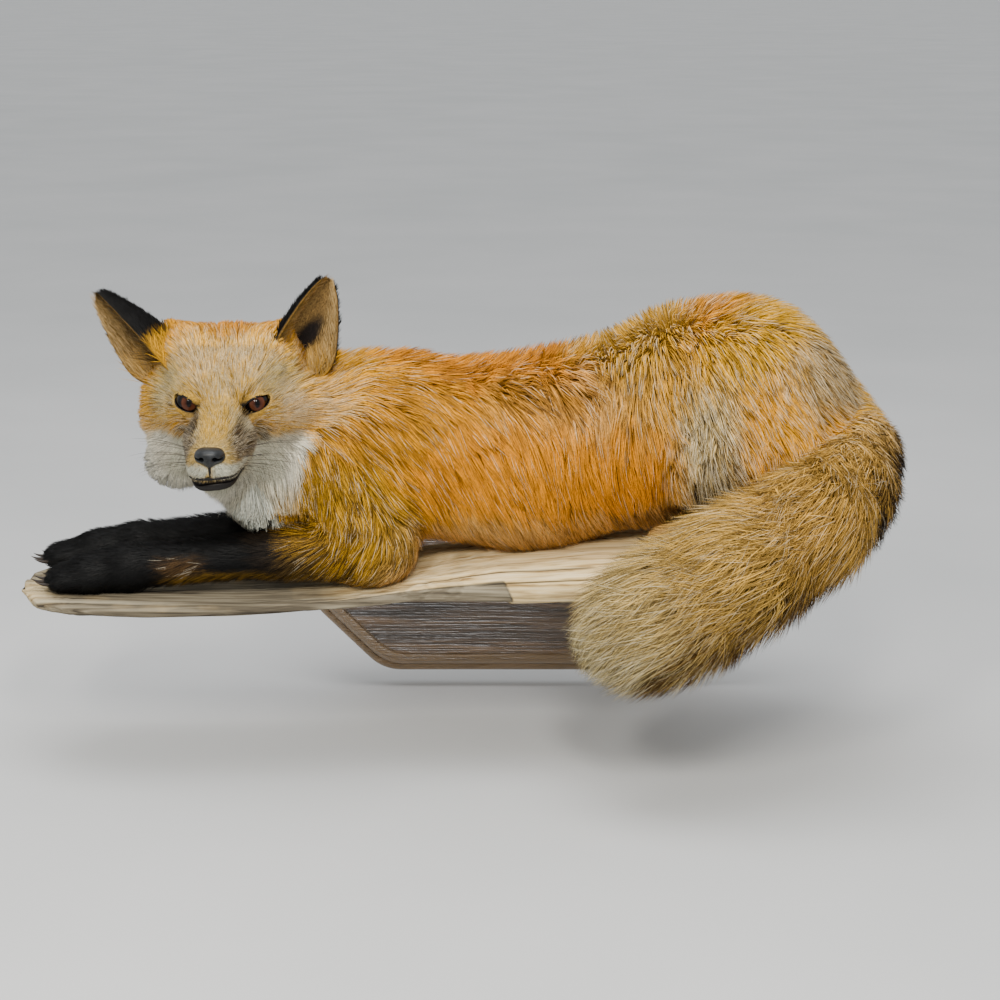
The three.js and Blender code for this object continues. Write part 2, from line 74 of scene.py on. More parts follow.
# The routed edge from the wall outwards: how far the outline has drawn in, at which height.
PANEL_EDGE = [
    (0.8, 0), (0, 0.8), (0, 6.0), (0.4, 7.6), (1.4, 9.0), (3.0, 9.9), (4.6, 10.1), (5.6, 9.8),
    (6.2, 9.6), (6.6, 10.6), (7.0, 12.2), (7.7, 14.1), (8.9, 15.8), (10.7, 17.3), (12.9, 18.3),
    (15.3, 18.8), (17.2, 18.8), (17.8, 18.3), (18.6, 18.5), (19.2, 19),
]  # fmt: skip
STAIN_DARK = "2A1C12"
STAIN_MIDDLE = "5C4530"
STAIN_LIGHT = "8C6B45"
STAIN_RUBBED = "9A7A4C"  # on the edge
BEAD_GROOVES = (6.2, 17.8)  # the insets of the two grooves, where the stain stays dark
RUBBED_FROM = 7  # the heights between which the edge is rubbed back
RUBBED_TO = 19
RUBBED = 0.8  # how pale it is there
NOT_RUBBED = 0.05


def linear(sample):
    """An sRGB hex colour as the linear one that shaders work in."""
    channels = [int(sample[i : i + 2], 16) / 255 for i in (0, 2, 4)]
    return np.array([c / 12.92 if c <= 0.04045 else ((c + 0.055) / 1.055) ** 2.4 for c in channels])


def add(tree, kind, links=None, stops=None, **settings):
    """Adds a node. links joins or sets its inputs, where a node stands for its first output, and
    stops are a ramp's places and colours."""
    node = tree.nodes.new(kind)
    for name, value in settings.items():
        setattr(node, name, value)
    for name, value in (links or {}).items():
        value = value.outputs[0] if isinstance(value, bpy.types.Node) else value
        if isinstance(value, bpy.types.NodeSocket):
            tree.links.new(value, node.inputs[name])
        else:
            node.inputs[name].default_value = value
    for i, (place, sample) in enumerate(stops or []):
        stop = node.color_ramp.elements[i] if i < 2 else node.color_ramp.elements.new(place)
        stop.position = place
        stop.color = (*linear(sample), 1)
    return node


def new_finish(name, **sockets):
    """A material, its node tree and its shader, with the shader's own sockets set."""
    material = bpy.data.materials.new(name)
    material.use_nodes = True
    tree = material.node_tree
    shader = tree.nodes["Principled BSDF"]
    for socket, value in sockets.items():
        shader.inputs[socket.replace("_", " ")].default_value = value
    return material, tree, shader


def loft(rows):
    """Points and triangles of rings joined in order, with a point closing each end."""
    rows = np.asarray(rows, float)
    count, around = rows.shape[:2]
    here = np.arange((count - 1) * around)
    beside = here + 1 - around * (here % around == around - 1)
    ring = np.arange(around)
    after = np.roll(ring, -1)
    last = (count - 1) * around
    faces = [
        np.stack([here, beside, beside + around], 1),
        np.stack([here, beside + around, here + around], 1),
        np.stack([after, ring, np.full(around, count * around)], 1),
        np.stack([last + ring, last + after, np.full(around, count * around + 1)], 1),
    ]
    return np.vstack([rows.reshape(-1, 3), rows[0].mean(0), rows[-1].mean(0)]), np.vstack(faces)


def facing_out(points, faces):
    """The faces of a closed shape, turned round if they point inwards."""
    corners = points[faces[:, :3]]
    volume = np.einsum("ij,ij->i", corners[:, 0], np.cross(corners[:, 1], corners[:, 2])).sum()
    return faces if volume > 0 else faces[:, ::-1]


def piece_of(name, points, faces, material, crease=180):
    """An object at the origin from points in millimetres. Edges sharper than crease stay sharp."""
    mesh = bpy.data.meshes.new(name)
    faces = np.ascontiguousarray(facing_out(points, faces), np.int32)
    mesh.vertices.add(len(points))
    mesh.vertices.foreach_set("co", np.asarray(points * MM, np.float32).ravel())
    mesh.loops.add(faces.size)
    mesh.loops.foreach_set("vertex_index", faces.ravel())
    mesh.polygons.add(len(faces))
    mesh.polygons.foreach_set("loop_start", np.arange(0, faces.size, faces.shape[1], dtype=np.int32))
    mesh.polygons.foreach_set("use_smooth", np.ones(len(faces), bool))
    mesh.update(calc_edges=True)
    if crease < 180:
        mesh.set_sharp_from_angle(angle=math.radians(crease))
    mesh.materials.append(material)
    piece = bpy.data.objects.new(name, mesh)
    bpy.context.collection.objects.link(piece)
    return piece


def note(piece, name, values):
    """Writes one number or colour for each point of a piece, for its material to read."""
    kind, field = ("FLOAT", "value") if values.ndim == 1 else ("FLOAT_COLOR", "color")
    if values.ndim == 2:
        values = np.hstack([values, np.ones((len(values), 1))])
    layer = piece.data.attributes.new(name, kind, "POINT")
    layer.data.foreach_set(field, np.asarray(values, np.float32).ravel())


def panel_outline(inset):
    """The panel's outline in X and Z, drawn in all round, with each corner a short curve."""
    half = np.array([PANEL_WIDTH, PANEL_HEIGHT]) / 2 - inset
    clip = PANEL_CLIP - inset * (2 - math.sqrt(2))
    signs = [(1, 1), (1, -1), (-1, -1), (-1, 1)]
    corners = []
    for i, (right, up) in enumerate(signs):
        pair = [(half[0] - clip, half[1]), (half[0], half[1] - clip)]
        corners += [(right * x, up * z) for x, z in (pair if i % 2 == 0 else pair[::-1])]
    corners = np.array(corners)
    outline = []
    for i, corner in enumerate(corners):
        ends = [corners[i - 1], corners[(i + 1) % len(corners)]]
        start, end = [corner + (to - corner) * PANEL_ROUND / np.linalg.norm(to - corner) for to in ends]
        for t in np.linspace(0, 1, PANEL_ROUND_SPOTS):
            outline.append((1 - t) ** 2 * start + 2 * t * (1 - t) * corner + t**2 * end)
    return np.array(outline)


def lacquered_wood():
    """Stained softwood: long wavy grain whose ridges catch the light through a clear glossy coat,
    dark pores, and a paler edge where the stain was rubbed back."""
    material, tree, shader = new_finish(
        "lacquered_stained_wood", Roughness=0.35, Coat_Weight=1.0, Coat_Roughness=0.13, Coat_IOR=1.7
    )
    place = add(tree, "ShaderNodeTexCoord").outputs["Object"]
    along = add(tree, "ShaderNodeMapping", {"Vector": place, "Scale": (1 / 0.22, 1 / 0.009, 1 / 0.009)})
    grain = add(tree, "ShaderNodeTexNoise", {"Vector": along, "Scale": 1, "Detail": 5, "Distortion": 1.1})
    fine = add(tree, "ShaderNodeMapping", {"Vector": place, "Scale": (1 / 0.06, 1 / 0.0016, 1 / 0.0016)})
    pores = add(tree, "ShaderNodeTexNoise", {"Vector": fine, "Scale": 1, "Detail": 3})
    colour = add(
        tree,
        "ShaderNodeValToRGB",
        {"Fac": grain},
        stops=[(0.32, STAIN_DARK), (0.68, STAIN_LIGHT), (0.5, STAIN_MIDDLE)],
    )
    dark = add(tree, "ShaderNodeValToRGB", {"Fac": pores}, stops=[(0.36, "6A6258"), (0.52, "FFFFFF")])
    stained = add(
        tree, "ShaderNodeMix", {0: 0.8, 6: colour, 7: dark}, data_type="RGBA", blend_type="MULTIPLY"
    )
    edge = add(tree, "ShaderNodeAttribute", attribute_name="worn_edge")
    worn = add(
        tree,
        "ShaderNodeMix",
        {0: edge.outputs["Fac"], 6: stained.outputs[2], 7: (*linear(STAIN_RUBBED), 1)},
        data_type="RGBA",
    )
    tree.links.new(worn.outputs[2], shader.inputs["Base Color"])
    bump = add(tree, "ShaderNodeBump", {"Height": pores, "Strength": 1.0, "Distance": 0.0042})
    tree.links.new(bump.outputs["Normal"], shader.inputs["Normal"])
    tree.links.new(bump.outputs["Normal"], shader.inputs["Coat Normal"])
    return material


rows = []
edge_wear = []
for inset, height in PANEL_EDGE:
    outline = panel_outline(inset)
    rows.append(np.stack([outline[:, 0], np.full(len(outline), -float(height)), outline[:, 1]], 1))
    rubbed = RUBBED_FROM < height < RUBBED_TO and inset not in BEAD_GROOVES
    edge_wear.append(np.full(len(outline), RUBBED if rubbed else NOT_RUBBED))
panel = piece_of("wall_panel", *loft(rows), lacquered_wood(), crease=35)
note(panel, "worn_edge", np.concatenate([*edge_wear, [0.0, 0.0]]))
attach(panel, "root")
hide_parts("plaque")

# ---------------------------------------------------------------- driftwood
# A water-worn plank of pale softwood, with ridged grain, drying cracks, a split step along its
# front and a knot. The stub of its own branch runs back to the panel, where it is sawn flat.

# The slab's sections: along X, front and back in Y, underside and top in Z.
SLAB = np.array([
    (-386, -198, -160, 0, 6), (-376, -226, -134, -8, 6), (-345, -238, -118, -12, 4),
    (-290, -241, -114, -13, 3), (-215, -239, -110, -11, 3), (-150, -235, -106, -8, 6),
    (-95, -231, -102, -5, 15), (-31, -233, -98, -7, 26), (43, -237, -94, -4, 31),
    (130, -242, -92, -1, 33), (186, -240, -98, 4, 31), (214, -224, -112, 8, 27),
], float)  # fmt: skip
SLAB_SQUARE = 0.7  # below 1 a section's corners fill out towards a worn plank's
SLAB_STATIONS = 420
SLAB_EASED = 13  # stations over which a change of section is smoothed
SLAB_AROUND = 120
SLAB_MIDDLE_X = -85
MOST_SUNK = 6  # the deepest that wear goes
STUB_X = 24
STUB_Z = 6
STUB_RADIUS = 26
STUB_SPREAD = 1.2  # how much wider it is where it grows from the slab
STUB_FRONT = -150
STUB_STATIONS = 90
STUB_AROUND = 88
# Drying cracks: where along X they start and end, their place round the section in turns, and depth.
# A turn runs from the back over the top to the front edge at a half and on under the slab.
CRACKS = [
    (-60, 180, 0.46, 2.2), (-20, 120, 0.53, 1.8), (-340, -150, 0.55, 1.6), (-250, -60, 0.60, 1.8),
    (-120, 60, 0.36, 1.5), (60, 204, 0.55, 2.0), (-330, -230, 0.30, 1.4), (-90, 210, 0.12, 1.6),
]  # fmt: skip
STEP_X = -26  # where the front splits to a lower layer of grain
LAYER_TURN = 0.44  # and how far round the section that layer's upper edge runs
KNOT = np.array([-86, -228, 17])
KNOT_RADIUS = 9


def wander(points, size, seed):
    """Smooth wandering values from about -1 to 1, whose swells are about size across."""
    chance = np.random.default_rng(seed)
    total = np.zeros(len(points))
    for _ in range(7):
        wave = chance.normal(size=3)
        wave *= chance.uniform(0.6, 1.5) * math.pi / np.asarray(size) / np.linalg.norm(wave)
        total += np.sin(points @ wave + chance.uniform(0, 2 * math.pi))
    return total / 2.6


def eased(value, low, high):
    """0 below low and 1 above high, with a soft climb between."""
    t = np.clip((value - low) / (high - low), 0, 1)
    return t * t * (3 - 2 * t)


def weathered_wood():
    """Bleached driftwood: silver-grey where sea and light have worn it, creamy where the grey
    has been scraped off, with fine dark lines along the grain's furrows and near black in its
    cracks, which is painted shade in these hollows."""
    material, tree, shader = new_finish("weathered_driftwood", Roughness=0.86, Specular_IOR_Level=0.25)
    place = add(tree, "ShaderNodeTexCoord").outputs["Object"]
    long = add(tree, "ShaderNodeMapping", {"Vector": place, "Scale": (1 / 0.09, 1 / 0.0035, 1 / 0.0035)})
    streak = add(tree, "ShaderNodeTexNoise", {"Vector": long, "Scale": 1, "Detail": 6, "Distortion": 0.6})
    blotch = add(tree, "ShaderNodeTexNoise", {"Vector": place, "Scale": 1 / 0.03, "Detail": 3})
    grey = add(
        tree,
        "ShaderNodeValToRGB",
        {"Fac": streak},
        stops=[(0.3, "3B342A"), (0.72, "A0967F"), (0.5, "756B58")],
    )
    cream = add(
        tree,
        "ShaderNodeValToRGB",
        {"Fac": streak},
        stops=[(0.28, "8F7042"), (0.7, "F2DDB0"), (0.46, "DCBF88")],
    )
    bleach = add(tree, "ShaderNodeAttribute", attribute_name="scraped")
    patchy = add(
        tree, "ShaderNodeMath", {0: blotch, 1: 0.55, 2: bleach.outputs["Fac"]}, operation="MULTIPLY_ADD"
    )
    share = add(tree, "ShaderNodeMapRange", {"Value": patchy, "From Min": 0.42, "From Max": 0.95})
    wood = add(tree, "ShaderNodeMix", {0: share, 6: grey, 7: cream}, data_type="RGBA")
    # The groove attribute darkens the wood's furrows, cracks, split step and knot rings: painted shade.
    groove = add(tree, "ShaderNodeAttribute", attribute_name="groove")
    shade_in_hollows = add(
        tree,
        "ShaderNodeMix",
        {0: groove.outputs["Fac"], 6: wood.outputs[2], 7: (*linear("2E261D"), 1)},
        data_type="RGBA",
    )
    tree.links.new(shade_in_hollows.outputs[2], shader.inputs["Base Color"])
    bump = add(tree, "ShaderNodeBump", {"Height": streak, "Strength": 0.7, "Distance": 0.0008})
    tree.links.new(bump.outputs["Normal"], shader.inputs["Normal"])
    return material


def worn_slab():
    """The slab's points and faces, with how scraped each point is and how much painted shade it gets in its
    hollows.
    """
    x = np.linspace(SLAB[0, 0], SLAB[-1, 0], SLAB_STATIONS)
    ease = np.ones(SLAB_EASED) / SLAB_EASED
    section = []
    for column in SLAB.T[1:]:
        values = np.pad(np.interp(x, SLAB[:, 0], column), SLAB_EASED // 2, "edge")
        section.append(np.convolve(values, ease, "valid")[:, None])
    front, back, under, top = section
    turns = (np.arange(SLAB_AROUND) / SLAB_AROUND)[None, :]
    angle = turns * 2 * math.pi
    ways = np.cos(angle), np.sin(angle)
    out_y, out_z = [np.sign(way) * np.abs(way) ** SLAB_SQUARE for way in ways]
    y = (front + back) / 2 + (back - front) / 2 * out_y
    z = (under + top) / 2 + (top - under) / 2 * out_z
    points = np.stack(np.broadcast_arrays(x[:, None], y, z), -1).reshape(-1, 3)
    outward = np.stack(np.broadcast_arrays(0 * x[:, None], np.cos(angle), np.sin(angle)), -1).reshape(-1, 3)
    # Wear: slow swells, long ridges of hard grain, and finer lines between them.
    sink = 1.3 + 1.3 * wander(points * (1, 4, 4), (160, 60, 60), 3)
    ridges = wander(points * (1, 12, 12), (170, 30, 30), 4)
    sink += 0.45 * ridges + 0.25 * wander(points * (1, 30, 30), (110, 30, 30), 5)
    # The furrows between the ridges are darkened: painted shade.
    groove = eased(-ridges, 0.75, 1.6) * 0.45
    # Drying cracks run along the grain and close towards both ends.
    for i, (start, end, turn, depth) in enumerate(CRACKS):
        drift = 0.012 * wander(points * (1, 0, 0), (70, 70, 70), 20 + i)
        off = np.abs((np.tile(turns, (len(x), 1)).ravel() + drift - turn + 0.5) % 1 - 0.5)
        length = eased(points[:, 0], start, start + 30) * eased(-points[:, 0], -end, 30 - end)
        cut = np.clip(1 - off / (0.007 * length + 1e-6), 0, 1) * length
        sink += depth * cut
        # Each crack is darkened towards black: painted shade.
        groove = np.maximum(groove, eased(cut, 0.1, 0.9))
    facing = np.tile(np.clip(-np.cos(angle), 0, 1) ** 0.5, (len(x), 1)).ravel()
    turned = np.tile(turns, (len(x), 1)).ravel()
    # Beyond the split the front lies one layer of grain deeper.
    split = STEP_X + 2.5 * wander(points * (0, 1, 1), (30, 9, 9), 31)
    ledge = LAYER_TURN + 0.012 * wander(points * (1, 0, 0), (60, 60, 60), 32)
    lower = eased(turned, ledge - 0.006, ledge + 0.006) * eased(-turned, -0.75, -0.72)
    lower *= eased(-points[:, 0], -split - 1.5, -split + 1.5) * eased(points[:, 0], -240, -120)
    sink += 1.9 * lower
    # The foot of the split step is darkened: painted shade.
    groove = np.maximum(groove, eased(-np.abs(lower - 0.5), -0.42, -0.1) * 0.55)
    # The knot's rings, and then the two ends, which are worn rounder.
    swirl = KNOT + 3 * np.stack([wander(points, (9, 9, 9), 33 + i) for i in range(3)], 1)
    ring = np.linalg.norm((points - swirl) * (0.6, 1, 1), axis=1)
    near_knot = eased(-ring, -2.4 * KNOT_RADIUS, -2) * facing
    sink += 1.5 * near_knot * np.sin(ring / 1.7 + 2 * wander(points, (14, 14, 14), 36))
    # The knot's ring furrows are darkened: painted shade.
    groove = np.maximum(groove, near_knot * eased(np.sin(ring / 1.7), 0.1, 1) * 0.6)
    ends = eased(np.abs(points[:, 0] - SLAB_MIDDLE_X), 280, 300)
    sink += 2.5 * ends * wander(points, (14, 14, 14), 6) ** 2
    # The grey is scraped off towards the haunch and at the other end's tip.
    scraped = 0.62 * eased(points[:, 0], -210, -80) * (1 - lower) * eased(-turned, -0.7, -0.62)
    scraped += 0.1 * wander(points * (1, 3, 3), (90, 40, 40), 37) + 0.1
    scraped += 0.2 * eased(-points[:, 0], 340, 372)
    moved = points - outward * np.clip(sink, 0.2, MOST_SUNK)[:, None]
    solid_points, faces = loft(moved.reshape(len(x), SLAB_AROUND, 3))
    return solid_points, faces, np.append(scraped, [0.3, 0.2]), np.append(groove, [0.3, 0.3])


def branch_stub():
    """The stub from inside the slab to the panel, ridged like the slab and flat where it is sawn."""
    y = np.linspace(STUB_FRONT, -PANEL_THICK - 0.4, STUB_STATIONS)
    radius = np.interp(y, [y[0], y[-1]], [STUB_RADIUS * STUB_SPREAD, STUB_RADIUS])[:, None]
    angle = (np.arange(STUB_AROUND) / STUB_AROUND * 2 * math.pi)[None, :]
    ring = np.stack(np.broadcast_arrays(np.cos(angle), y[:, None] / 60, np.sin(angle)), -1).reshape(-1, 3)
    swells = wander(ring * (1, 1, 1), (0.9, 0.9, 0.9), 8)
    sink = 1.2 + swells + 0.5 * wander(ring * (8, 0.6, 8), (1, 1, 1), 9)
    radius = radius - np.clip(sink.reshape(STUB_STATIONS, STUB_AROUND), 0, 4)
    x, z = STUB_X + radius * np.cos(angle), STUB_Z + radius * np.sin(angle)
    points, faces = loft(np.stack(np.broadcast_arrays(x, y[:, None], z), -1))
    # Its deepest furrows are darkened: painted shade.
    return points, faces, np.full(len(points), 0.15), np.append(eased(sink, 2.2, 3.4) * 0.5, [0, 0])


driftwood_finish = weathered_wood()
for name, made in (("driftwood_slab", worn_slab()), ("driftwood_stub", branch_stub())):
    points, faces, scraped, groove = made
    wood = piece_of(name, points, faces, driftwood_finish)
    note(wood, "scraped", scraped)
    # groove holds the painted shade in the wood's hollows.
    note(wood, "groove", groove)
    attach(wood, "root")
    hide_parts("driftwood")

# ---------------------------------------------------------------- the fox's form
# A tanned skin glued over a carved foam form. The form is a set of muscles, each a tapered
# capsule given with the coat's outer radius, and the skin lies inside them by the coat's depth.

BODY_Y = -150  # the fox's middle plane, along the wall
BODY_BLEND = 26  # how softly two muscles of the body run into each other
LEG_BLEND = 10
FACE_BLEND = 12
GROUP_BLEND = 10  # and one group of muscles into the next

# What grows on a muscle: the way the hair lies, how far that way turns to run back from the nose,
# its length, the coat's depth, the tufts on a square millimetre, its colour, and the shares of
# tufts with dark and with pale tips.
TRAITS = 12
LIE, FROM_NOSE, LENGTH, DEPTH, CROWD, COLOUR, DARK_TIPS, PALE_TIPS = (
    slice(0, 3), 3, 4, 5, 6, slice(7, 10), 10, 11,
)  # fmt: skip
Muscle = namedtuple("Muscle", "group start end start_radius end_radius thin start_coat end_coat")


def hair_colour(sample):
    """A hair's own colour for a coat to look like sample: deeper, as hairs scatter white light."""
    colour = linear(sample)
    grey = colour @ (0.2126, 0.7152, 0.0722)
    deeper = np.maximum((grey + (colour - grey) * 1.3) * (1.15, 1.2, 1.15), 0.006)
    return deeper / max(deeper.max() / 0.85, 1)  # the palest keep their hue


def coat(lie, length, depth, crowd, sample, dark=0.1, pale=0.1, from_nose=0.0):
    """The traits of the coat at one end of a muscle."""
    return np.array([*lie, from_nose, length, depth, crowd, *hair_colour(sample), dark, pale])


def muscle(group, start, end, start_radius, end_radius, start_coat, end_coat=None, thin=1.0):
    """A muscle whose radii reach to the coat's surface. thin is its width across the body."""
    end_coat = start_coat if end_coat is None else end_coat
    ends = (np.array(start, float), np.array(end, float))
    under = (start_radius - start_coat[DEPTH], end_radius - end_coat[DEPTH])
    return Muscle(group, *ends, *under, thin, start_coat, end_coat)


GOLD = "C48D30"
FLANK = coat((0.6, 0, -1.15), 34, 19, 0.34, GOLD, dark=0.08, pale=0.06)
BELLY = coat((0.5, 0, -1.2), 36, 19, 0.34, "C2966A", dark=0.08, pale=0.06)
HAUNCH = coat((0.4, 0, -1.0), 27, 17, 0.38, "BE8F44", dark=0.22, pale=0.22)
RUMP = coat((0.7, 0, -0.9), 30, 18, 0.36, "CC9C52", dark=0.12, pale=0.3)
GROIN = coat((0.6, 0, -1.0), 28, 15, 0.3, "9C7B45", dark=0.2)
BREAST = coat((0.35, 0, -1.0), 34, 19, 0.36, "C0964E", dark=0.2, pale=0.12)
NECK = coat((0.8, 0, -0.75), 36, 21, 0.4, "B08434", dark=0.1, pale=0.2)
# The throat's greyish white is a little darker than the bib's: partly painted shade under the jaw.
THROAT = coat((0.35, 0, -1.0), 34, 19, 0.5, "B5AC98", dark=0.12, pale=0.3)
BIB = coat((0.4, 0, -1.0), 34, 18, 0.5, "C6C4BC", dark=0.15, pale=0.35)

muscles = [
    muscle("flank", (-112, BODY_Y, 100), (-10, BODY_Y, 97), 72, 74, FLANK, thin=0.9),
    muscle("loin", (-10, BODY_Y, 97), (80, BODY_Y, 110), 74, 72, BELLY, thin=0.88),
    muscle("loin", (40, BODY_Y, 117), (118, BODY_Y, 142), 66, 68, BELLY, HAUNCH, thin=0.86),
    muscle("haunch", (112, BODY_Y, 139), (146, BODY_Y, 142), 70, 76, HAUNCH, RUMP, thin=0.9),
    muscle("rump", (150, BODY_Y, 132), (200, BODY_Y, 114), 62, 56, RUMP, thin=0.95),
    muscle("rump", (120, BODY_Y, 90), (205, BODY_Y, 88), 52, 42, GROIN),
    muscle("shoulder", (-140, -154, 96), (-166, -164, 78), 62, 46, BREAST),
    muscle("neck", (-110, BODY_Y, 108), (-206, -168, 122), 64, 54, FLANK, NECK),
    muscle("bib", (-222, -198, 106), (-212, -186, 84), 36, 34, THROAT),
    muscle("bib", (-195, -182, 108), (-203, -186, 67), 36, 30, THROAT, BIB),
]

BLACK = "151210"


def toes(group, ankle, tip, root_share, spread, fur):
    """Four toes, each a small capsule from inside the paw to its tip."""
    made = []
    for toe in (-1.5, -0.5, 0.5, 1.5):
        root = ankle + (tip - ankle) * root_share + (0, toe * spread * 0.75, -2)
        end = tip + (abs(toe) * 4, toe * spread, -1)
        made.append(muscle(group, root, end, 9.5, 8.5, fur))
    return made


def foreleg(group, shoulder, elbow, wrist, tip):
    """A foreleg's muscles, from the shoulder blade to the toes. The stocking starts below the elbow."""
    shoulder, elbow, wrist, tip = [np.array(joint, float) for joint in (shoulder, elbow, wrist, tip)]
    arm = coat((0.3, 0, -1.0), 30, 16, 0.38, "BE9348", dark=0.4, pale=0.12)
    point = coat((-0.5, 0, -0.9), 26, 12, 0.4, "AA8858", dark=0.6, pale=0.1)
    calf = coat((-1, 0, -0.25), 15, 6, 0.5, "221C17", dark=0.2, pale=0.0)
    stocking = coat((-1, 0, -0.12), 9, 3.5, 0.6, BLACK, dark=0.1, pale=0.0)
    paw = coat((-1, 0, -0.1), 7, 2.6, 0.75, BLACK, dark=0.1, pale=0.0)
    middle = elbow + (wrist - elbow) * 0.4
    return [
        muscle("shoulder", shoulder, elbow, 45, 33, arm, point),
        muscle(group, elbow, middle, 32, 20, point, calf),
        muscle(group, middle, wrist, 20, 18, calf, stocking),
        muscle(group, wrist, (wrist + tip) / 2, 18, 17, stocking, paw),
        *toes(group, wrist, tip, 0.45, 8.5, paw),
    ]


def hindleg(group, hip, knee, hock, tip):
    """A folded hind leg's muscles. The foot points forwards under the belly."""
    hip, knee, hock, tip = [np.array(joint, float) for joint in (hip, knee, hock, tip)]
    thigh = coat((0.4, 0, -1.0), 26, 15, 0.4, "BC924C", dark=0.2, pale=0.25)
    over_knee = coat((0.3, 0, -1.0), 22, 11, 0.4, "A58A62", dark=0.3, pale=0.3)
    shank = coat((0.9, 0, -0.5), 15, 6, 0.5, "57493C", dark=0.4, pale=0.0)
    hock_fur = coat((-0.3, 0, -0.5), 10, 4, 0.6, "352C24", dark=0.3, pale=0.0)
    paw = coat((-1, 0, -0.1), 9, 3, 0.7, "26211C", dark=0.2, pale=0.0)
    return [
        muscle("haunch", hip, knee, 64, 38, thigh, over_knee, thin=0.64),
        muscle("haunch", hip + (hock - hip) * 0.4, knee, 44, 30, thigh, over_knee, thin=0.8),
        muscle(group, knee, hock, 28, 20, shank, hock_fur),
        muscle(group, hock, hock + (tip - hock) * 0.75, 19, 16, hock_fur, paw),
        *toes(group, hock, tip, 0.7, 8, paw),
    ]


FORE_NEAR = [(-150, -182, 92), (-122, -203, 38), (-306, -205, 21), (-361, -205, 14)]
FORE_FAR = [(-150, -118, 92), (-122, -102, 36), (-306, -142, 22), (-374, -146, 15)]
HIND_NEAR = [(164, -184, 143), (132, -204, 92), (208, -208, 54), (84, -212, 45)]
HIND_FAR = [(x, 2 * BODY_Y - y, z) for x, y, z in HIND_NEAR]
legs = {
    "foreleg_near": foreleg("foreleg_near", *FORE_NEAR),
    "foreleg_far": foreleg("foreleg_far", *FORE_FAR),
    "hindleg_near": hindleg("hindleg_near", *HIND_NEAR),
    "hindleg_far": hindleg("hindleg_far", *HIND_FAR),
}
for leg in legs.values():
    muscles += [part for part in leg if part.group in ("shoulder", "haunch")]

# The tail's middle line, the brush's radius and how deep its hair is.
TAIL = [
    ((200, BODY_Y, 112), 30, 15), ((225, -164, 107), 30, 16), ((231, -192, 100), 35, 20),
    ((217, -230, 85), 43, 28), ((190, -260, 69), 51, 36), ((138, -282, 41), 55, 40),
    ((90, -286, 11), 55, 41), ((59, -284, -5), 44, 33),
]  # fmt: skip
TAIL_COLOURS = ["C6A478", "C29F72", "BC9868", "BA9460", "BC9662", "BE9C68", "C0A87E", "C8B894"]
tail = []
for i, ((start, radius, depth), (end, end_radius, end_depth)) in enumerate(zip(TAIL, TAIL[1:])):
    along = np.subtract(end, start) / np.linalg.norm(np.subtract(end, start))
    furs = [
        coat(along, deep * 1.15 + 14, deep, 0.35 + 0.4 * min(deep / 36, 1), sample, dark=0.46, pale=0.12)
        for deep, sample in ((depth, TAIL_COLOURS[i]), (end_depth, TAIL_COLOURS[i + 1]))
    ]
    tail.append(muscle("tail", start, end, radius, end_radius, *furs))

# The head's own frame starts midway between the eyes: ahead of it, to the fox's left, and up.
EYE_MIDDLE = np.array([-229, -235, 150])
HEAD_YAW = 2  # degrees from facing straight off the wall
HEAD_PITCH = 1.5  # nose down
head_turn = np.array(Euler((math.radians(HEAD_PITCH), 0, -math.radians(HEAD_YAW)), "ZXY").to_matrix())


def in_head(ahead, left, up):
    """A place in the head's frame as a point of the scene."""
    return head_turn @ np.array([left, -ahead, up]) + EYE_MIDDLE


def from_head(points):
    """Points of the scene as ahead, left and up in the head's frame."""
    turned = (points - EYE_MIDDLE) @ head_turn
    return np.stack([-turned[:, 1], turned[:, 0], turned[:, 2]], 1)


FACE_FLOW = (0, 0, -0.25)
BROW = coat((0, 0, 0.1), 8, 3.2, 1.0, "C6A468", dark=0.15, pale=0.35, from_nose=1)
FOREHEAD = coat((0, 0, 0), 12, 5, 0.9, "CC9C54", dark=0.2, pale=0.4, from_nose=1)
CROWN = coat((0, 0, -0.1), 17, 9, 0.6, "B88540", dark=0.1, pale=0.15, from_nose=1)
CHEEK = coat(FACE_FLOW, 10, 4.5, 0.9, "DDB068", dark=0.1, pale=0.3, from_nose=1)
CHEEK_BACK = coat((0.1, 0, -0.35), 27, 12, 0.6, "E0A65A", dark=0.12, pale=0.35, from_nose=1)
JOWL = coat(FACE_FLOW, 10, 4.5, 0.9, "D6CFC4", dark=0.08, pale=0.4, from_nose=1)
JOWL_BACK = coat((0.15, 0, -0.7), 30, 14, 0.6, "D8D1C6", dark=0.12, pale=0.45, from_nose=0.9)
BRIDGE = coat((0, 0, 0), 8, 3.2, 1.0, "BE9C62", dark=0.15, pale=0.2, from_nose=1)
MUZZLE = coat((0, 0, 0), 4, 1.4, 1.3, "B49A70", dark=0.15, pale=0.1, from_nose=1)
CHIN = coat((0, 0, -0.1), 9, 3.5, 0.9, "C2BFB3", dark=0.1, pale=0.3, from_nose=1)

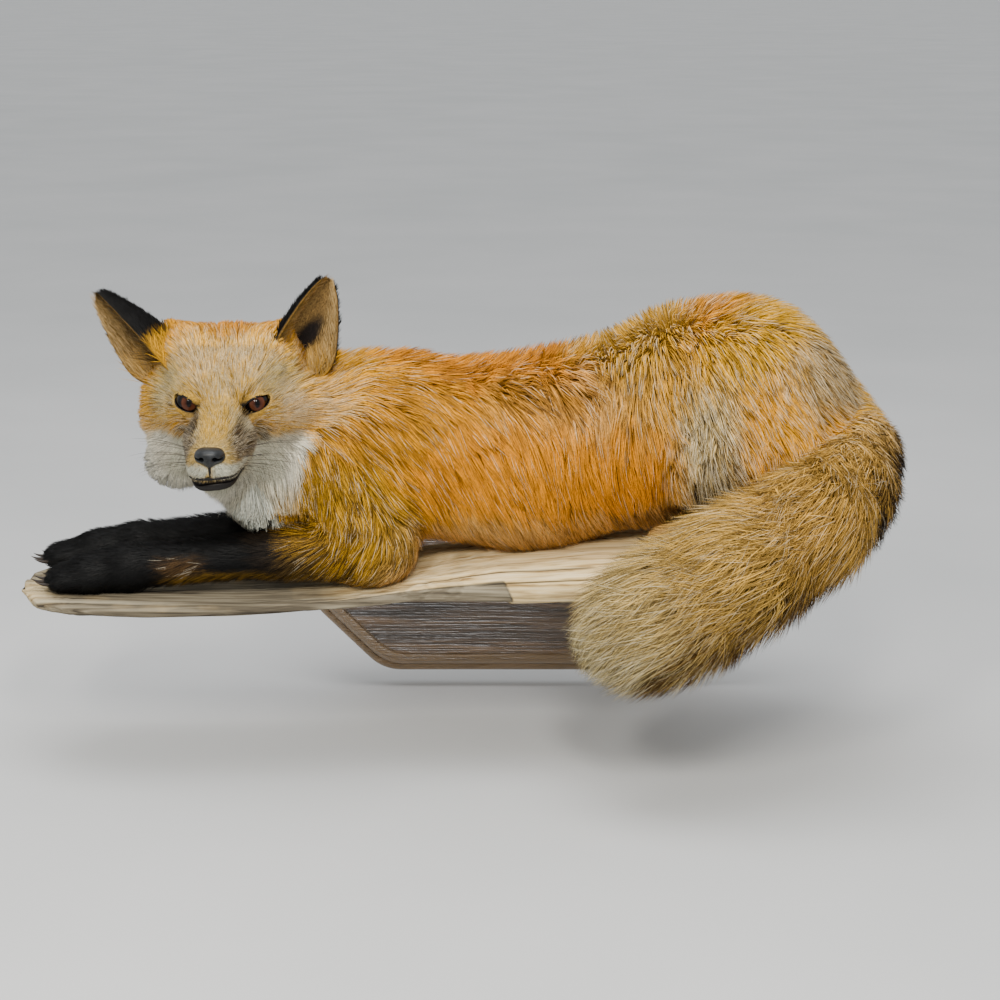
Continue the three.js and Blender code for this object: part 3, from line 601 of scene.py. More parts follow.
head = [
    muscle("head", in_head(-26, 0, 7), in_head(-58, 0, 7), 30, 44, FOREHEAD, CROWN),
    muscle("head", in_head(-34, 48, -10), in_head(-58, 76, -12), 22, 23, CHEEK_BACK),
    muscle("head", in_head(0, 0, -12), in_head(47, 0, -27), 21, 12.5, BRIDGE, MUZZLE),
    muscle("head", in_head(-8, 0, -46), in_head(-46, 4, -60), 15, 27, JOWL, JOWL_BACK),
    muscle("head", in_head(4, -8, -53), in_head(-24, -4, -68), 13, 19, JOWL, JOWL_BACK),
    muscle("head", in_head(-36, -42, -42), in_head(-50, -49, -54), 20, 25, JOWL, JOWL_BACK),
    muscle("head", in_head(-56, 28, 32), in_head(-59, 38, 44), 16, 11, CROWN),
    muscle("head", in_head(-56, -28, 30), in_head(-60, -46, 42), 17, 12, CROWN),
]
for side in (1, -1):
    head += [
        muscle("head", in_head(-46, 30 * side, 28), in_head(-62, 28 * side, 20), 21, 30, FOREHEAD, CROWN),
        muscle("head", in_head(-15, 18 * side, 13), in_head(-42, 27 * side, 20), 17, 24, BROW, FOREHEAD),
        muscle("head", in_head(-14, 29 * side, -6), in_head(-50, 45 * side, -2), 15, 27, CHEEK, CHEEK_BACK),
        muscle("head", in_head(-18, side * 25, -15), in_head(-50, side * 46, -22), 21, 28, CHEEK, CHEEK_BACK),
        muscle("head", in_head(-22, 16 * side, -36), in_head(-48, 36 * side, -52), 19, 28, JOWL, JOWL_BACK),
        muscle("head", in_head(-8, 17 * side, 10), in_head(-22, 26 * side, 12), 8.5, 13, BROW, FOREHEAD),
        muscle("head", in_head(14, 13 * side, -24), in_head(44, 8 * side, -31), 14.5, 10.5, CHIN, MUZZLE),
        muscle("head", in_head(-14, 6 * side, -36), in_head(42, 5 * side, -41.5), 16, 9, CHIN, MUZZLE),
    ]

GROUPS = [
    (muscles, BODY_BLEND),
    *[([part for part in leg if part.group == name], LEG_BLEND) for name, leg in legs.items()],
    (tail, BODY_BLEND),
    (head, FACE_BLEND),
]
FAR = 120.0  # beyond this a muscle is not felt
CHUNK = 6000  # points felt at a time


def capsule(points, part):
    """The distance to one muscle, and beside it the way out of it and its coat's traits."""
    squeeze = np.array([1, part.thin, 1])
    offset = (points - part.start) / squeeze
    bone = (part.end - part.start) / squeeze
    along = np.clip(offset @ bone / (bone @ bone), 0, 1)[:, None]
    away = offset - along * bone
    reach = np.linalg.norm(away, axis=1)
    radius = part.start_radius + (part.end_radius - part.start_radius) * along[:, 0]
    out = away / (reach[:, None] + 1e-9) / squeeze
    return reach - radius, np.hstack([out, part.start_coat + (part.end_coat - part.start_coat) * along])


def blended(one, other, blend):
    """Two forms joined with a fillet of about the blend's width, their coats mixed to match."""
    share = np.clip(1 - np.abs(one[0] - other[0]) / blend, 0, 1)
    other_share = np.where(other[0] < one[0], 1 - share / 2, share / 2)[:, None]
    return np.minimum(one[0], other[0]) - share**2 * blend / 4, one[1] + (other[1] - one[1]) * other_share


def felt(points, groups=GROUPS):
    """How far each point is outside the skin, the way out, the coat's traits, and the muscle."""
    distance = np.full(len(points), FAR)
    values = np.zeros((len(points), 3 + TRAITS))
    home = np.zeros(len(points), int)
    numbers = {id(part): i for i, part in enumerate(p for parts, _ in GROUPS for p in parts)}
    for first in range(0, len(points), CHUNK):
        some = slice(first, first + CHUNK)
        here = points[some]
        low, high = here.min(0), here.max(0)
        whole, closest, number = None, np.full(len(here), 1e9), np.zeros(len(here), int)
        for parts, blend in groups:
            joint = None
            for part in parts:
                room = max(part.start_radius, part.end_radius) + FAR
                ends = np.array([part.start, part.end])
                if (ends.min(0) - room > high).any() or (ends.max(0) + room < low).any():
                    continue
                one = capsule(here, part)
                nearer = one[0] < closest
                closest[nearer] = one[0][nearer]
                number[nearer] = numbers[id(part)]
                joint = one if joint is None else blended(joint, one, blend)
            if joint is not None:
                whole = joint if whole is None else blended(whole, joint, GROUP_BLEND)
        if whole is not None:
            distance[some], values[some], home[some] = whole[0], whole[1], number
    out = values[:, :3] / (np.linalg.norm(values[:, :3], axis=1, keepdims=True) + 1e-9)
    return distance, out, values[:, 3:], home

# ---------------------------------------------------------------- eyes' sockets, mouth and skin
# The skin is one closed shell over the whole form: body, legs, tail, head and ears. It is opened
# for the glass eyes, with lids tucked round them, and creased along the mouth.

EYE_RADIUS = 10
EYE_SIDE = 23.4  # each eye's middle, off the head's middle plane
EYE_DEEP = 5.5  # and behind the line between the lids
LID_THICK = 2.0
# The opening between the lids, in the plane that faces out of the eye.
OPENING_WIDTH = 22
OPENING_ABOVE = 5.0
OPENING_BELOW = 4.3
OPENING_SLANT = 24  # degrees that the inner corner is lower than the outer
EYE_SPLAY = 20  # degrees that the opening faces out from straight ahead
TEAR_POINT = 2.5  # how far the inner corner is drawn out and down
LID_BLEND = 5  # how softly the raised lids run into the face
MOUTH_FRONT = (62, 0, -41.5)
MOUTH_CORNER = (9, 31, -39.5)
MOUTH_ARCH = 1.5  # how much higher the line between the lips is midway
MOUTH_GAPE = 1.1  # half the slit's height
MOUTH_CREASE = 2.5  # and how deep it goes
BODY_GRID = 3.0
HEAD_GRID = 1.15


class Eye:
    """One eye's place and the directions of its opening: out of it, towards the ear, and up."""

    def __init__(self, side):
        """side is 1 for the fox's left eye and -1 for its right one."""
        self.side = side
        self.middle = in_head(-EYE_DEEP, EYE_SIDE * side, 0)
        splay = math.radians(EYE_SPLAY)
        slant = math.radians(OPENING_SLANT)
        out = np.array([math.cos(splay), math.sin(splay) * side, 0.06])
        self.out = self.turned(out / np.linalg.norm(out))
        level = self.turned(np.array([-math.sin(splay), math.cos(splay) * side, 0]))
        up = np.cross(self.out, level) * side
        self.outer = level * math.cos(slant) + up * math.sin(slant)
        self.up = np.cross(self.out, self.outer) * side
        self.up *= np.sign(self.up[2])

    def turned(self, direction):
        """A direction in the head's frame as one of the scene."""
        return in_head(*direction) - EYE_MIDDLE

    def seen(self, points):
        """Points as out, across and up from the eye's middle."""
        offset = points - self.middle
        return offset @ self.out, offset @ self.outer, offset @ self.up

    def rim(self, turn, radius, swell=0.0):
        """A point on the lids' edge, turn radians round from the outer corner, at that radius."""
        across = (OPENING_WIDTH / 2 + swell) * np.cos(turn)
        height = np.where(np.sin(turn) > 0, OPENING_ABOVE, OPENING_BELOW) + swell
        up = height * np.sign(np.sin(turn)) * np.abs(np.sin(turn)) ** 1.15
        across = across - np.clip(-np.cos(turn) - 0.55, 0, 1) * TEAR_POINT
        up = up - np.clip(-np.cos(turn) - 0.6, 0, 1) * TEAR_POINT
        depth = np.sqrt(np.maximum(radius**2 - across**2 - up**2, 4.0))
        place = self.middle + np.outer(depth, self.out)
        return place + np.outer(across, self.outer) + np.outer(up, self.up)


eyes = [Eye(1), Eye(-1)]


def hollowed(distance, points):
    """The head's form with lids raised over the eyes, sockets cut between them, and the mouth."""
    for eye in eyes:
        lids = np.linalg.norm(points - eye.middle, axis=1) - EYE_RADIUS - LID_THICK
        share = np.clip(1 - np.abs(distance - lids) / LID_BLEND, 0, 1)
        distance = np.minimum(distance, lids) - share**2 * LID_BLEND / 4
        out, across, up = eye.seen(points)
        height = np.where(up > 0, OPENING_ABOVE, OPENING_BELOW)
        almond = np.sqrt((across / (OPENING_WIDTH / 2)) ** 2 + (up / height) ** 2)
        opening = np.maximum((almond - 1) * OPENING_BELOW, -out + 1)
        distance = np.maximum(distance, -opening)
    ahead, _, up = from_head(points).T
    share = np.clip((MOUTH_FRONT[0] - ahead) / (MOUTH_FRONT[0] - MOUTH_CORNER[0]), 0, 1)
    climb = MOUTH_CORNER[2] - MOUTH_FRONT[2]
    line = MOUTH_FRONT[2] + climb * share + MOUTH_ARCH * np.sin(share * math.pi)
    slit = np.maximum(np.abs(up - line) - MOUTH_GAPE, MOUTH_CORNER[0] - ahead)
    deep_enough = distance + MOUTH_CREASE
    return np.maximum(distance, -np.maximum(slit, -deep_enough))


def shell(form, low, high, step):
    """The closed surface where form is zero, found on a grid, as points and four-sided faces."""
    axes = [np.arange(a, b + step, step) for a, b in zip(low, high)]
    grid = np.stack(np.meshgrid(*axes, indexing="ij"), -1)
    values = form(grid.reshape(-1, 3)).reshape(grid.shape[:3])
    volume = openvdb.FloatGrid(background=3 * step)
    volume.copyFromArray(np.clip(values, -3 * step, 3 * step).astype(np.float32))
    points, faces = volume.convertToQuads(0.0)
    return low + points * step, faces


HEAD_BOX = (np.array([-318, -312, 66]), np.array([-134, -130, 206]))
BODY_BOX = (np.array([-394, -304, -4]), np.array([250, -80, 206]))
body_groups = GROUPS[:-1]
head_groups = GROUPS[-1:]

EAR_DEEP = 1.4  # an ear's depth as a cup, against half its width
EAR_THICK = 2.2
EAR_WRAP = 1.35  # radians from the middle of its back to each edge
EAR_ROWS = 44
EAR_ACROSS = 30
EAR_ROOTED = 0.28  # how much of its length goes on into the head
Ear = namedtuple("Ear", "side root tip opens wide")
ears = [
    Ear(1, in_head(-46, 44, 14), in_head(-60, 71, 81), np.array([0.5, -0.85, 0]), 28),
    Ear(-1, in_head(-46, -50, 17), in_head(-62, -99.5, 68), np.array([-0.72, -0.62, -0.4]), 31),
]


def ear_frame(ear):
    """An ear's length, and its directions: up it, out of its mouth, and across it."""
    length = np.linalg.norm(ear.tip - ear.root)
    upward = (ear.tip - ear.root) / length
    front = ear.opens - (ear.opens @ upward) * upward
    front /= np.linalg.norm(front)
    return length, upward, front, np.cross(upward, front)


def ear_section(ear, along):
    """Half an ear's width and the depth of its cup, that far up it."""
    gather = 1 - 0.35 * np.clip(1 - np.clip(along, 0, 1) / 0.35, 0, 1) ** 2  # its edges meet low down
    width = ear.wide * gather * (1 - np.clip(along, 0, 1) ** 1.25) ** 0.6 + 0.8
    return width, (EAR_DEEP - 0.1 * along) * width


def leaf(ear, along, over, face):
    """A point of an ear: along from root to tip, over from edge to edge, face 1 behind, -1 in it."""
    length, upward, front, across = ear_frame(ear)
    width, cup = ear_section(ear, along)
    half = EAR_THICK / 2 * (1 - 0.45 * np.clip(along, 0, 1)) * face
    turn = over * EAR_WRAP
    place = ear.root + np.outer(along * length, upward)
    place = place + np.outer(np.sin(turn) * (width + half), across)
    return place + np.outer(cup * 0.5 - np.cos(turn) * (cup + half), front)


def on_leaf(ear, points):
    """How far up and over an ear some points are, and 1 behind it or -1 in it."""
    length, upward, front, across = ear_frame(ear)
    offset = points - ear.root
    along = offset @ upward / length
    width, cup = ear_section(ear, along)
    side = offset @ across / width
    behind = (cup * 0.5 - offset @ front) / cup
    return along, np.arctan2(side, behind) / EAR_WRAP, np.where(np.hypot(side, behind) > 1, 1.0, -1.0)


def ear_shell(ear):
    """An ear as a closed leaf that goes on down into the head."""
    over = np.linspace(-1, 1, EAR_ACROSS)
    rows = []
    for along in np.linspace(-EAR_ROOTED, 1, EAR_ROWS):
        level = np.full(EAR_ACROSS, along)
        rows.append(np.vstack([leaf(ear, level, over, 1), leaf(ear, level, over[::-1], -1)]))
    return loft(rows)


def joined_skin(shells, material):
    """One closed skin from several shells that run into each other."""
    parts = [piece_of(f"skin_part_{i}", *made, material) for i, made in enumerate(shells)]
    skin = parts[0]
    for other in parts[1:]:
        join = skin.modifiers.new("join", "BOOLEAN")
        join.operation = "UNION"
        join.solver = "MANIFOLD"
        join.object = other
    done = bpy.data.meshes.new_from_object(skin.evaluated_get(bpy.context.evaluated_depsgraph_get()))
    for part in parts:
        bpy.data.objects.remove(part)
    piece = bpy.data.objects.new("fox_skin", done)
    bpy.context.collection.objects.link(piece)
    return piece


def skin_finish():
    """Tanned hide under the coat: the markings show through it, broken up by the hair's roots."""
    material, tree, shader = new_finish("tanned_hide", Roughness=0.8, Specular_IOR_Level=0.2)
    marking = add(tree, "ShaderNodeAttribute", attribute_name="marking")
    place = add(tree, "ShaderNodeTexCoord").outputs["Object"]
    roots = add(tree, "ShaderNodeTexNoise", {"Vector": place, "Scale": 1 / 0.0012, "Detail": 2})
    dark = add(tree, "ShaderNodeValToRGB", {"Fac": roots}, stops=[(0.3, "9A9A9A"), (0.7, "FFFFFF")])
    colour = add(
        tree,
        "ShaderNodeMix",
        {0: 1.0, 6: marking.outputs["Color"], 7: dark},
        data_type="RGBA",
        blend_type="MULTIPLY",
    )
    tree.links.new(colour.outputs[2], shader.inputs["Base Color"])
    bump = add(tree, "ShaderNodeBump", {"Height": roots, "Strength": 0.6, "Distance": 0.0006})
    tree.links.new(bump.outputs["Normal"], shader.inputs["Normal"])
    return material


def mesh_points(piece):
    """A piece's points in millimetres."""
    flat = np.empty(len(piece.data.vertices) * 3, np.float32)
    piece.data.vertices.foreach_get("co", flat)
    return flat.reshape(-1, 3).astype(float) / MM


skin = joined_skin(
    [
        shell(lambda p: felt(p, body_groups)[0], *BODY_BOX, BODY_GRID),
        shell(lambda p: hollowed(felt(p, head_groups)[0], p), *HEAD_BOX, HEAD_GRID),
        *[ear_shell(ear) for ear in ears],
    ],
    skin_finish(),
)

# ---------------------------------------------------------------- markings
# The colours of the coat and of the skin under it: black stockings and ears, a white bib and
# cheeks, a grizzled saddle and haunch, and a grey-brown mask on the muzzle.

# A patch of colour lies round a line from start to end, as far out as reach, with a soft edge.
Patch = namedtuple("Patch", "sample start end reach soft dark pale strength")


def patch(sample, start, end=None, reach=(10, 10, 10), soft=0.5, dark=None, pale=None, strength=1.0):
    """A patch, which is a single spot if no end is given. dark and pale replace the coat's own shares."""
    line = np.array(start, float), np.array(start if end is None else end, float)
    return Patch(hair_colour(sample), *line, np.array(reach, float), soft, dark, pale, strength)


def painted(colour, dark, pale, points, patches):
    """Lays patches over the colours and the shares of dark and pale tips, in order."""
    edge = 0.16 * wander(points, (16, 16, 16), 41) + 0.1 * wander(points, (5, 5, 5), 42)
    for spot in patches:
        offset = (points - spot.start) / spot.reach
        line = (spot.end - spot.start) / spot.reach
        along = np.clip(offset @ line / max(line @ line, 1e-9), 0, 1)[:, None]
        far = np.linalg.norm(offset - along * line, axis=1)
        share = eased(-far - edge * min(spot.soft, 1), -1 - spot.soft / 2, -1 + spot.soft / 2)
        share = share * spot.strength
        colour += (spot.sample - colour) * share[:, None]
        if spot.dark is not None:
            dark += (spot.dark - dark) * share
        if spot.pale is not None:
            pale += (spot.pale - pale) * share


def both_sides(patches, middle=BODY_Y):
    """Each patch followed by its mirror image across the fox's middle plane."""
    over = (0, 2 * middle, 0)
    mirror = [p._replace(start=p.start * (1, -1, 1) + over, end=p.end * (1, -1, 1) + over) for p in patches]
    return [p for pair in zip(patches, mirror) for p in pair]


BODY_PATCHES = [
    patch("BC7E2A", (-90, BODY_Y, 190), (90, BODY_Y, 205), (50, 45, 34), 0.7, dark=0.3),
    patch("B48B50", (62, BODY_Y, 200), reach=(52, 60, 36), soft=0.8, dark=0.3, pale=0.25),
    *both_sides([
        patch("D08F29", (-60, -222, 112), (40, -222, 108), (50, 45, 40), 0.8),
        patch("9A6C33", (-34, -205, 166), (18, -208, 164), (18, 28, 9), 1.2, dark=0.6, strength=0.8),
        patch("C29A6E", (-60, -205, 40), (90, -200, 42), (70, 60, 30), 1.0),
        patch("B07E30", (-150, -200, 130), (-120, -200, 150), (42, 40, 34), 0.8),
        patch("B68C42", (-158, -212, 88), (-132, -214, 52), (36, 40, 36), 0.7, dark=0.6),
        patch("3A2511", (-144, -222, 91), reach=(6, 20, 6), soft=1.2, strength=0.7),
        patch("3A2511", (-134, -224, 69), reach=(8, 20, 6), soft=1.2, strength=0.8),
        patch("C48A38", (166, -218, 122), reach=(42, 50, 60), soft=0.8),
        patch("B7A079", (114, -226, 146), (124, -230, 92), (20, 40, 24), 1.4, dark=0.42, pale=0.5,
              strength=0.85),
        # The rump's pale grizzle, made paler still as painted light, since the rump faces away from the
        # lamps.
        patch("E8AC60", (190, -216, 146), reach=(44, 50, 44), soft=1.1, dark=0.05, pale=0.45),
        patch("A88C68", (205, -196, 176), reach=(44, 46, 28), soft=0.9, dark=0.3, pale=0.4),
    ]),
    patch("4C4138", (104, -228, 70), reach=(24, 30, 12), soft=0.9, dark=0.4, pale=0.0),
    patch("0D0B0A", (-390, -175, 16), (-222, -175, 16), (16, 90, 40), 0.35, dark=0.05, pale=0.0),
    patch("8C6E42", (-250, -226, 10), (-176, -222, 8), (22, 14, 8), 1.0, dark=0.4, strength=0.8),
    patch("5A4531", (-262, -224, 26), reach=(15, 12, 9), soft=0.9, dark=0.3, pale=0.15, strength=0.8),
]  # fmt: skip
BIB_PATCHES = [
    patch("CFCDC4", (-214, -206, 88), (-203, -206, 60), (26, 44, 18), 0.5, dark=0.12, pale=0.4),
    patch("A37C3E", (-180, -200, 88), (-186, -204, 72), (12, 44, 12), 0.8, dark=0.3),
]
TAIL_PATCHES = [
    patch("2A1C12", (282, -190, 116), (270, -226, 66), (26, 40, 34), 0.9, dark=0.85, pale=0.03),
    patch("6B4E30", (232, -262, 24), (110, -300, -44), (30, 34, 18), 0.9, dark=0.75, pale=0.1),
    patch("CDBE9E", (62, -300, -34), (84, -320, 4), (34, 30, 26), 0.9, dark=0.35, pale=0.55),
]  # fmt: skip
HEAD_PATCHES = [
    patch("B47C30", (-46, 0, 48), reach=(26, 60, 18), soft=0.9, dark=0.08, pale=0.1),
    patch("D4A868", (-14, -14, 30), (-14, 14, 30), (26, 22, 24), 1.3, dark=0.22, pale=0.5),
    *both_sides([
        patch("B8863E", (-52, 52, 28), (-46, 36, 36), (18, 15, 18), 1.1),
        patch("D1B581", (-12, 40, 10), reach=(20, 16, 16), soft=0.9, dark=0.15, pale=0.4),
        patch("DDD5C9", (-16, 36, -38), (-50, 48, -42), (24, 22, 17), 0.45, dark=0.1, pale=0.5),
        patch("B98A4E", (2, 27, -15), (-16, 40, -15), (9, 8, 6), 0.9),
        patch("CFCABB", (2, 26, -34), (-20, 30, -48), (16, 14, 12), 0.5, dark=0.08),
    ], middle=0),
    # The left cheek's own cream streaks, made paler as painted light, since that cheek faces away from the
    # lamps.
    patch("EEC088", (-44, 64, -8), (-26, 44, -6), (24, 24, 15), 1.0, dark=0.05, pale=0.6),
    patch("C09C62", (34, 0, -4), (4, 0, 6), (22, 12, 14), 0.7, dark=0.12),
    patch("0B0A09", (56, 0, -25), reach=(13, 9.6, 7), soft=0.3, dark=0, pale=0),
    *both_sides([
        patch("8A7458", (38, 18, -22), (14, 25, -21), (13, 9, 9.5), 1.0, dark=0.6, pale=0.3),
        patch("5C4936", (28, 16, -13), (4, 15.5, -6), (8, 4, 5), 1.0, dark=0.65, pale=0.1, strength=0.85),
        patch("D3CFC1", (52, 8, -34), (36, 18, -36), (12, 9, 5.5), 0.5, dark=0.12, pale=0.3),
        patch("453527", (8, 15, -8), (22, 17, -14), (4, 3.2, 3.2), 0.8, dark=0.6),
        patch("1C1410", (3, 13.5, -5), (10, 14.5, -9.5), (4, 2.8, 2.6), 0.7, dark=0.3, pale=0),
        patch("2B1E15", (-8, 34, 4), (-24, 50, -4), (3.2, 3, 2.2), 0.8, dark=0.6),
        patch("A07C4C", (-5, 24, 0), reach=(18, 17, 11), soft=0.7, dark=0.35, pale=0.15, strength=0.5),
        patch("191512", (-5.5, 23.4, 0), reach=(16, 13.4, 7.2), soft=0.3, dark=0.1, pale=0.0),
        patch("2B241F", (9, 29, -36), reach=(8, 9, 3.2), soft=0.6, dark=0.2, pale=0),
    ], middle=0),
    patch("B9B5A8", (44, 0, -52), (10, 0, -58), (16, 20, 10), 0.6),
    patch("14100E", (48, 3, -44), (28, 3, -44), (16, 26, 5.0), 0.25, dark=0.0, pale=0.0),
]  # fmt: skip
EAR_BACK = linear("0C0A09")
EAR_RIM = linear("B08745")
EAR_INSIDE = linear("8A6C3C")
# Painted shade in the ear's hollow.
EAR_HOLLOW_SHADE = linear("1C1411")
EAR_ROOT = hair_colour("B98C4A")


def markings(points, out, traits, home):
    """The coat's colour over each point of the form, and its shares of dark and pale tips."""
    colour, dark, pale = traits[:, COLOUR].copy(), traits[:, DARK_TIPS].copy(), traits[:, PALE_TIPS].copy()
    seen_at = points + out * traits[:, DEPTH : DEPTH + 1]
    group = np.array([part.group for parts, _ in GROUPS for part in parts])[home]
    on_body = ~np.isin(group, ("tail", "head"))
    for chosen, patches in (
        (group == "tail", TAIL_PATCHES),
        (group == "head", HEAD_PATCHES),
        (on_body, BODY_PATCHES),
        (np.isin(group, ("bib", "neck")), BIB_PATCHES),
    ):
        places = from_head(seen_at[chosen]) if patches is HEAD_PATCHES else seen_at[chosen]
        values = colour[chosen], dark[chosen], pale[chosen]
        painted(*values, places, patches)
        colour[chosen], dark[chosen], pale[chosen] = values
    return colour, dark, pale


def ear_colours(ear, along, over, face):
    """An ear is black behind above its orange root, and tan inside, with painted shade in its hollow low
    down.
    """
    inner = over * ear.side  # from the edge towards the crown, -1, to the outer edge
    middle = -0.05 + 0.5 * np.clip(along, 0, 0.6) / 0.6
    # The hollow low in the cup gets painted shade.
    hollow_shade = eased(-np.hypot((along - 0.34) / 0.33, (inner - middle) / 0.3), -1.15, -0.5)
    crown_side = eased(-inner, 0.1, 0.8)
    low = eased(-along, -0.42, -0.06)
    inside = EAR_INSIDE + (EAR_RIM - EAR_INSIDE) * (0.35 * eased(np.abs(over), 0.5, 0.98))[:, None]
    inside = inside + (EAR_ROOT - inside) * (0.55 * np.maximum(low, 0.6 * crown_side))[:, None]
    inside = inside + (EAR_HOLLOW_SHADE - inside) * hollow_shade[:, None]
    behind = EAR_BACK + (EAR_ROOT - EAR_BACK) * eased(-along, -0.26, -0.08)[:, None]
    return np.where(face[:, None] > 0, behind, inside)


EAR_CLEAR = 0.5  # a point this far outside the form belongs to an ear
HIDE_SHADE = 0.8  # the hide is a little darker than the hair that stands on it
places = mesh_points(skin)
distance, out, traits, home = felt(places)
marks = markings(places, out, traits, home)[0]
on_ear = np.zeros(len(places), bool)
for ear in ears:
    near = np.linalg.norm(places - (ear.root + ear.tip) / 2, axis=1) < ear.wide * 2
    mine = near & (distance > EAR_CLEAR)
    marks[mine] = ear_colours(ear, *on_leaf(ear, places[mine]))
    on_ear |= mine
note(skin, "marking", marks * HIDE_SHADE)
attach(skin, "root")
OWN_PIECES = ("plaque", "driftwood", "nose", "eye_left", "eye_right")
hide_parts(*[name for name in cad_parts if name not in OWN_PIECES])

# ---------------------------------------------------------------- glass eyes and lids
# Each eye is a painted glass ball with a clear bulge over the iris, set in its socket with clay.
# The lids are the hide's own bare black edge, tucked round the glass.

IRIS_RADIUS = 6.6
PUPIL_WIDE = 0.2  # as shares of the iris
PUPIL_TALL = 0.42
CORNEA_RISE = 0.9
EYE_RINGS = 56
EYE_SEGMENTS = 72
GAZE_LEFT = 0.2  # both eyes look a little to the fox's left and up, at whoever faces it
GAZE_UP = 0.17
GAZE_SPLAY = 0.10  # and each a little outwards
LID_SECTION = 12
LID_AROUND = 96


def painted_glass():
    """Glass over paint: a red-brown iris flecked towards its rim, a black upright pupil, and a
    dark ring and back. The glass itself gives the sharp highlights."""
    material, tree, shader = new_finish("painted_glass", Roughness=0.03, Specular_IOR_Level=0.16)
    polar = add(tree, "ShaderNodeUVMap", uv_map="Iris")
    parts = add(tree, "ShaderNodeSeparateXYZ", {0: polar})
    turn = add(tree, "ShaderNodeMath", {0: parts.outputs[0], 1: 2 * math.pi}, operation="MULTIPLY")
    round_x = add(tree, "ShaderNodeMath", {0: turn}, operation="COSINE")
    round_y = add(tree, "ShaderNodeMath", {0: turn}, operation="SINE")
    circle = add(tree, "ShaderNodeCombineXYZ", {0: round_x, 1: round_y, 2: parts.outputs[1]})
    flecked = add(tree, "ShaderNodeMapping", {"Vector": circle, "Scale": (9, 9, 6)})
    flecks = add(tree, "ShaderNodeTexNoise", {"Vector": flecked, "Scale": 1, "Detail": 3})
    share = add(tree, "ShaderNodeMath", {0: flecks, 1: 0.22, 2: parts.outputs[1]}, operation="MULTIPLY_ADD")
    iris = add(
        tree,
        "ShaderNodeValToRGB",
        {"Fac": share},
        stops=[(0.0, "150A06"), (1.0, "060404"), (0.34, "27130B"), (0.56, "432316"), (0.82, "4E2C1C"),
               (0.94, "1C0D08")],
    )  # fmt: skip
    wide = add(tree, "ShaderNodeMath", {0: round_x, 1: 1 / PUPIL_WIDE}, operation="MULTIPLY")
    tall = add(tree, "ShaderNodeMath", {0: round_y, 1: 1 / PUPIL_TALL}, operation="MULTIPLY")
    oval = add(tree, "ShaderNodeCombineXYZ", {0: wide, 1: tall})
    stretch = add(tree, "ShaderNodeVectorMath", {0: oval}, operation="LENGTH")
    far = add(
        tree, "ShaderNodeMath", {0: stretch.outputs["Value"], 1: parts.outputs[1]}, operation="MULTIPLY"
    )
    pupil = add(tree, "ShaderNodeMapRange", {"Value": far, "From Min": 0.92, "From Max": 1.1})
    colour = add(tree, "ShaderNodeMix", {0: pupil, 6: (0.003, 0.002, 0.002, 1), 7: iris}, data_type="RGBA")
    tree.links.new(colour.outputs[2], shader.inputs["Base Color"])
    return material


def mottled(name, size, detail, dark, light, rise=0.0, **sockets):
    """A finish of one colour that drifts from dark to light in clouds or streaks. size is theirs
    along each axis and rise is how far they stand up, in millimetres."""
    material, tree, shader = new_finish(name, **sockets)
    place = add(tree, "ShaderNodeTexCoord").outputs["Object"]
    scaled = add(tree, "ShaderNodeMapping", {"Vector": place, "Scale": [1 / (s * MM) for s in size]})
    cloud = add(tree, "ShaderNodeTexNoise", {"Vector": scaled, "Scale": 1, "Detail": detail})
    colour = add(tree, "ShaderNodeValToRGB", {"Fac": cloud}, stops=[(0.3, dark), (0.7, light)])
    tree.links.new(colour.outputs["Color"], shader.inputs["Base Color"])
    if rise:
        bump = add(tree, "ShaderNodeBump", {"Height": cloud, "Strength": 0.5, "Distance": rise * MM})
        tree.links.new(bump.outputs["Normal"], shader.inputs["Normal"])
    return material


def glass_eye(eye, material):
    """A ball whose pole looks ahead, with a bulge over the iris and a map of turn and share of it."""
    side = GAZE_LEFT + GAZE_SPLAY * eye.side
    ahead = eye.turned(np.array([1, side, GAZE_UP]) / math.hypot(1, side, GAZE_UP))
    right = np.cross(ahead, (0, 0, 1))
    right /= np.linalg.norm(right)
    up = np.cross(right, ahead)
    iris_angle = math.asin(IRIS_RADIUS / EYE_RADIUS)
    rows, shares = [], []
    for tilt in np.linspace(0.02, 1, EYE_RINGS) ** 1.4 * (math.pi - 0.03):
        bulge = CORNEA_RISE * max(0, 1 - (tilt / iris_angle) ** 2)
        turn = np.arange(EYE_SEGMENTS) / EYE_SEGMENTS * 2 * math.pi
        ring = np.outer(np.cos(turn), right) + np.outer(np.sin(turn), up)
        rows.append(eye.middle + (EYE_RADIUS + bulge) * (math.sin(tilt) * ring + math.cos(tilt) * ahead))
        shares.append(min(tilt / iris_angle, 1.0))
    points, faces = loft(rows)
    faces = facing_out(points, faces)
    piece = piece_of("eye_glass_" + ("left" if eye.side > 0 else "right"), points, faces, material)
    row = np.minimum(faces, len(points) - 3) // EYE_SEGMENTS
    spot = faces % EYE_SEGMENTS / EYE_SEGMENTS
    pole = faces >= len(points) - 2
    known = np.where(pole, np.nan, spot)
    spot = np.where(pole, np.nanmin(known, axis=1, keepdims=True), spot)
    crossing = (np.nanmax(known, axis=1) - np.nanmin(known, axis=1) > 0.5)[:, None]
    spot = spot + (crossing & (spot < 0.5))
    share = np.array(shares)[row]
    share = np.where(faces == len(points) - 2, 0.0, share)
    layer = piece.data.uv_layers.new(name="Iris")
    layer.data.foreach_set("uv", np.stack([spot, share], -1).astype(np.float32).ravel())
    return piece


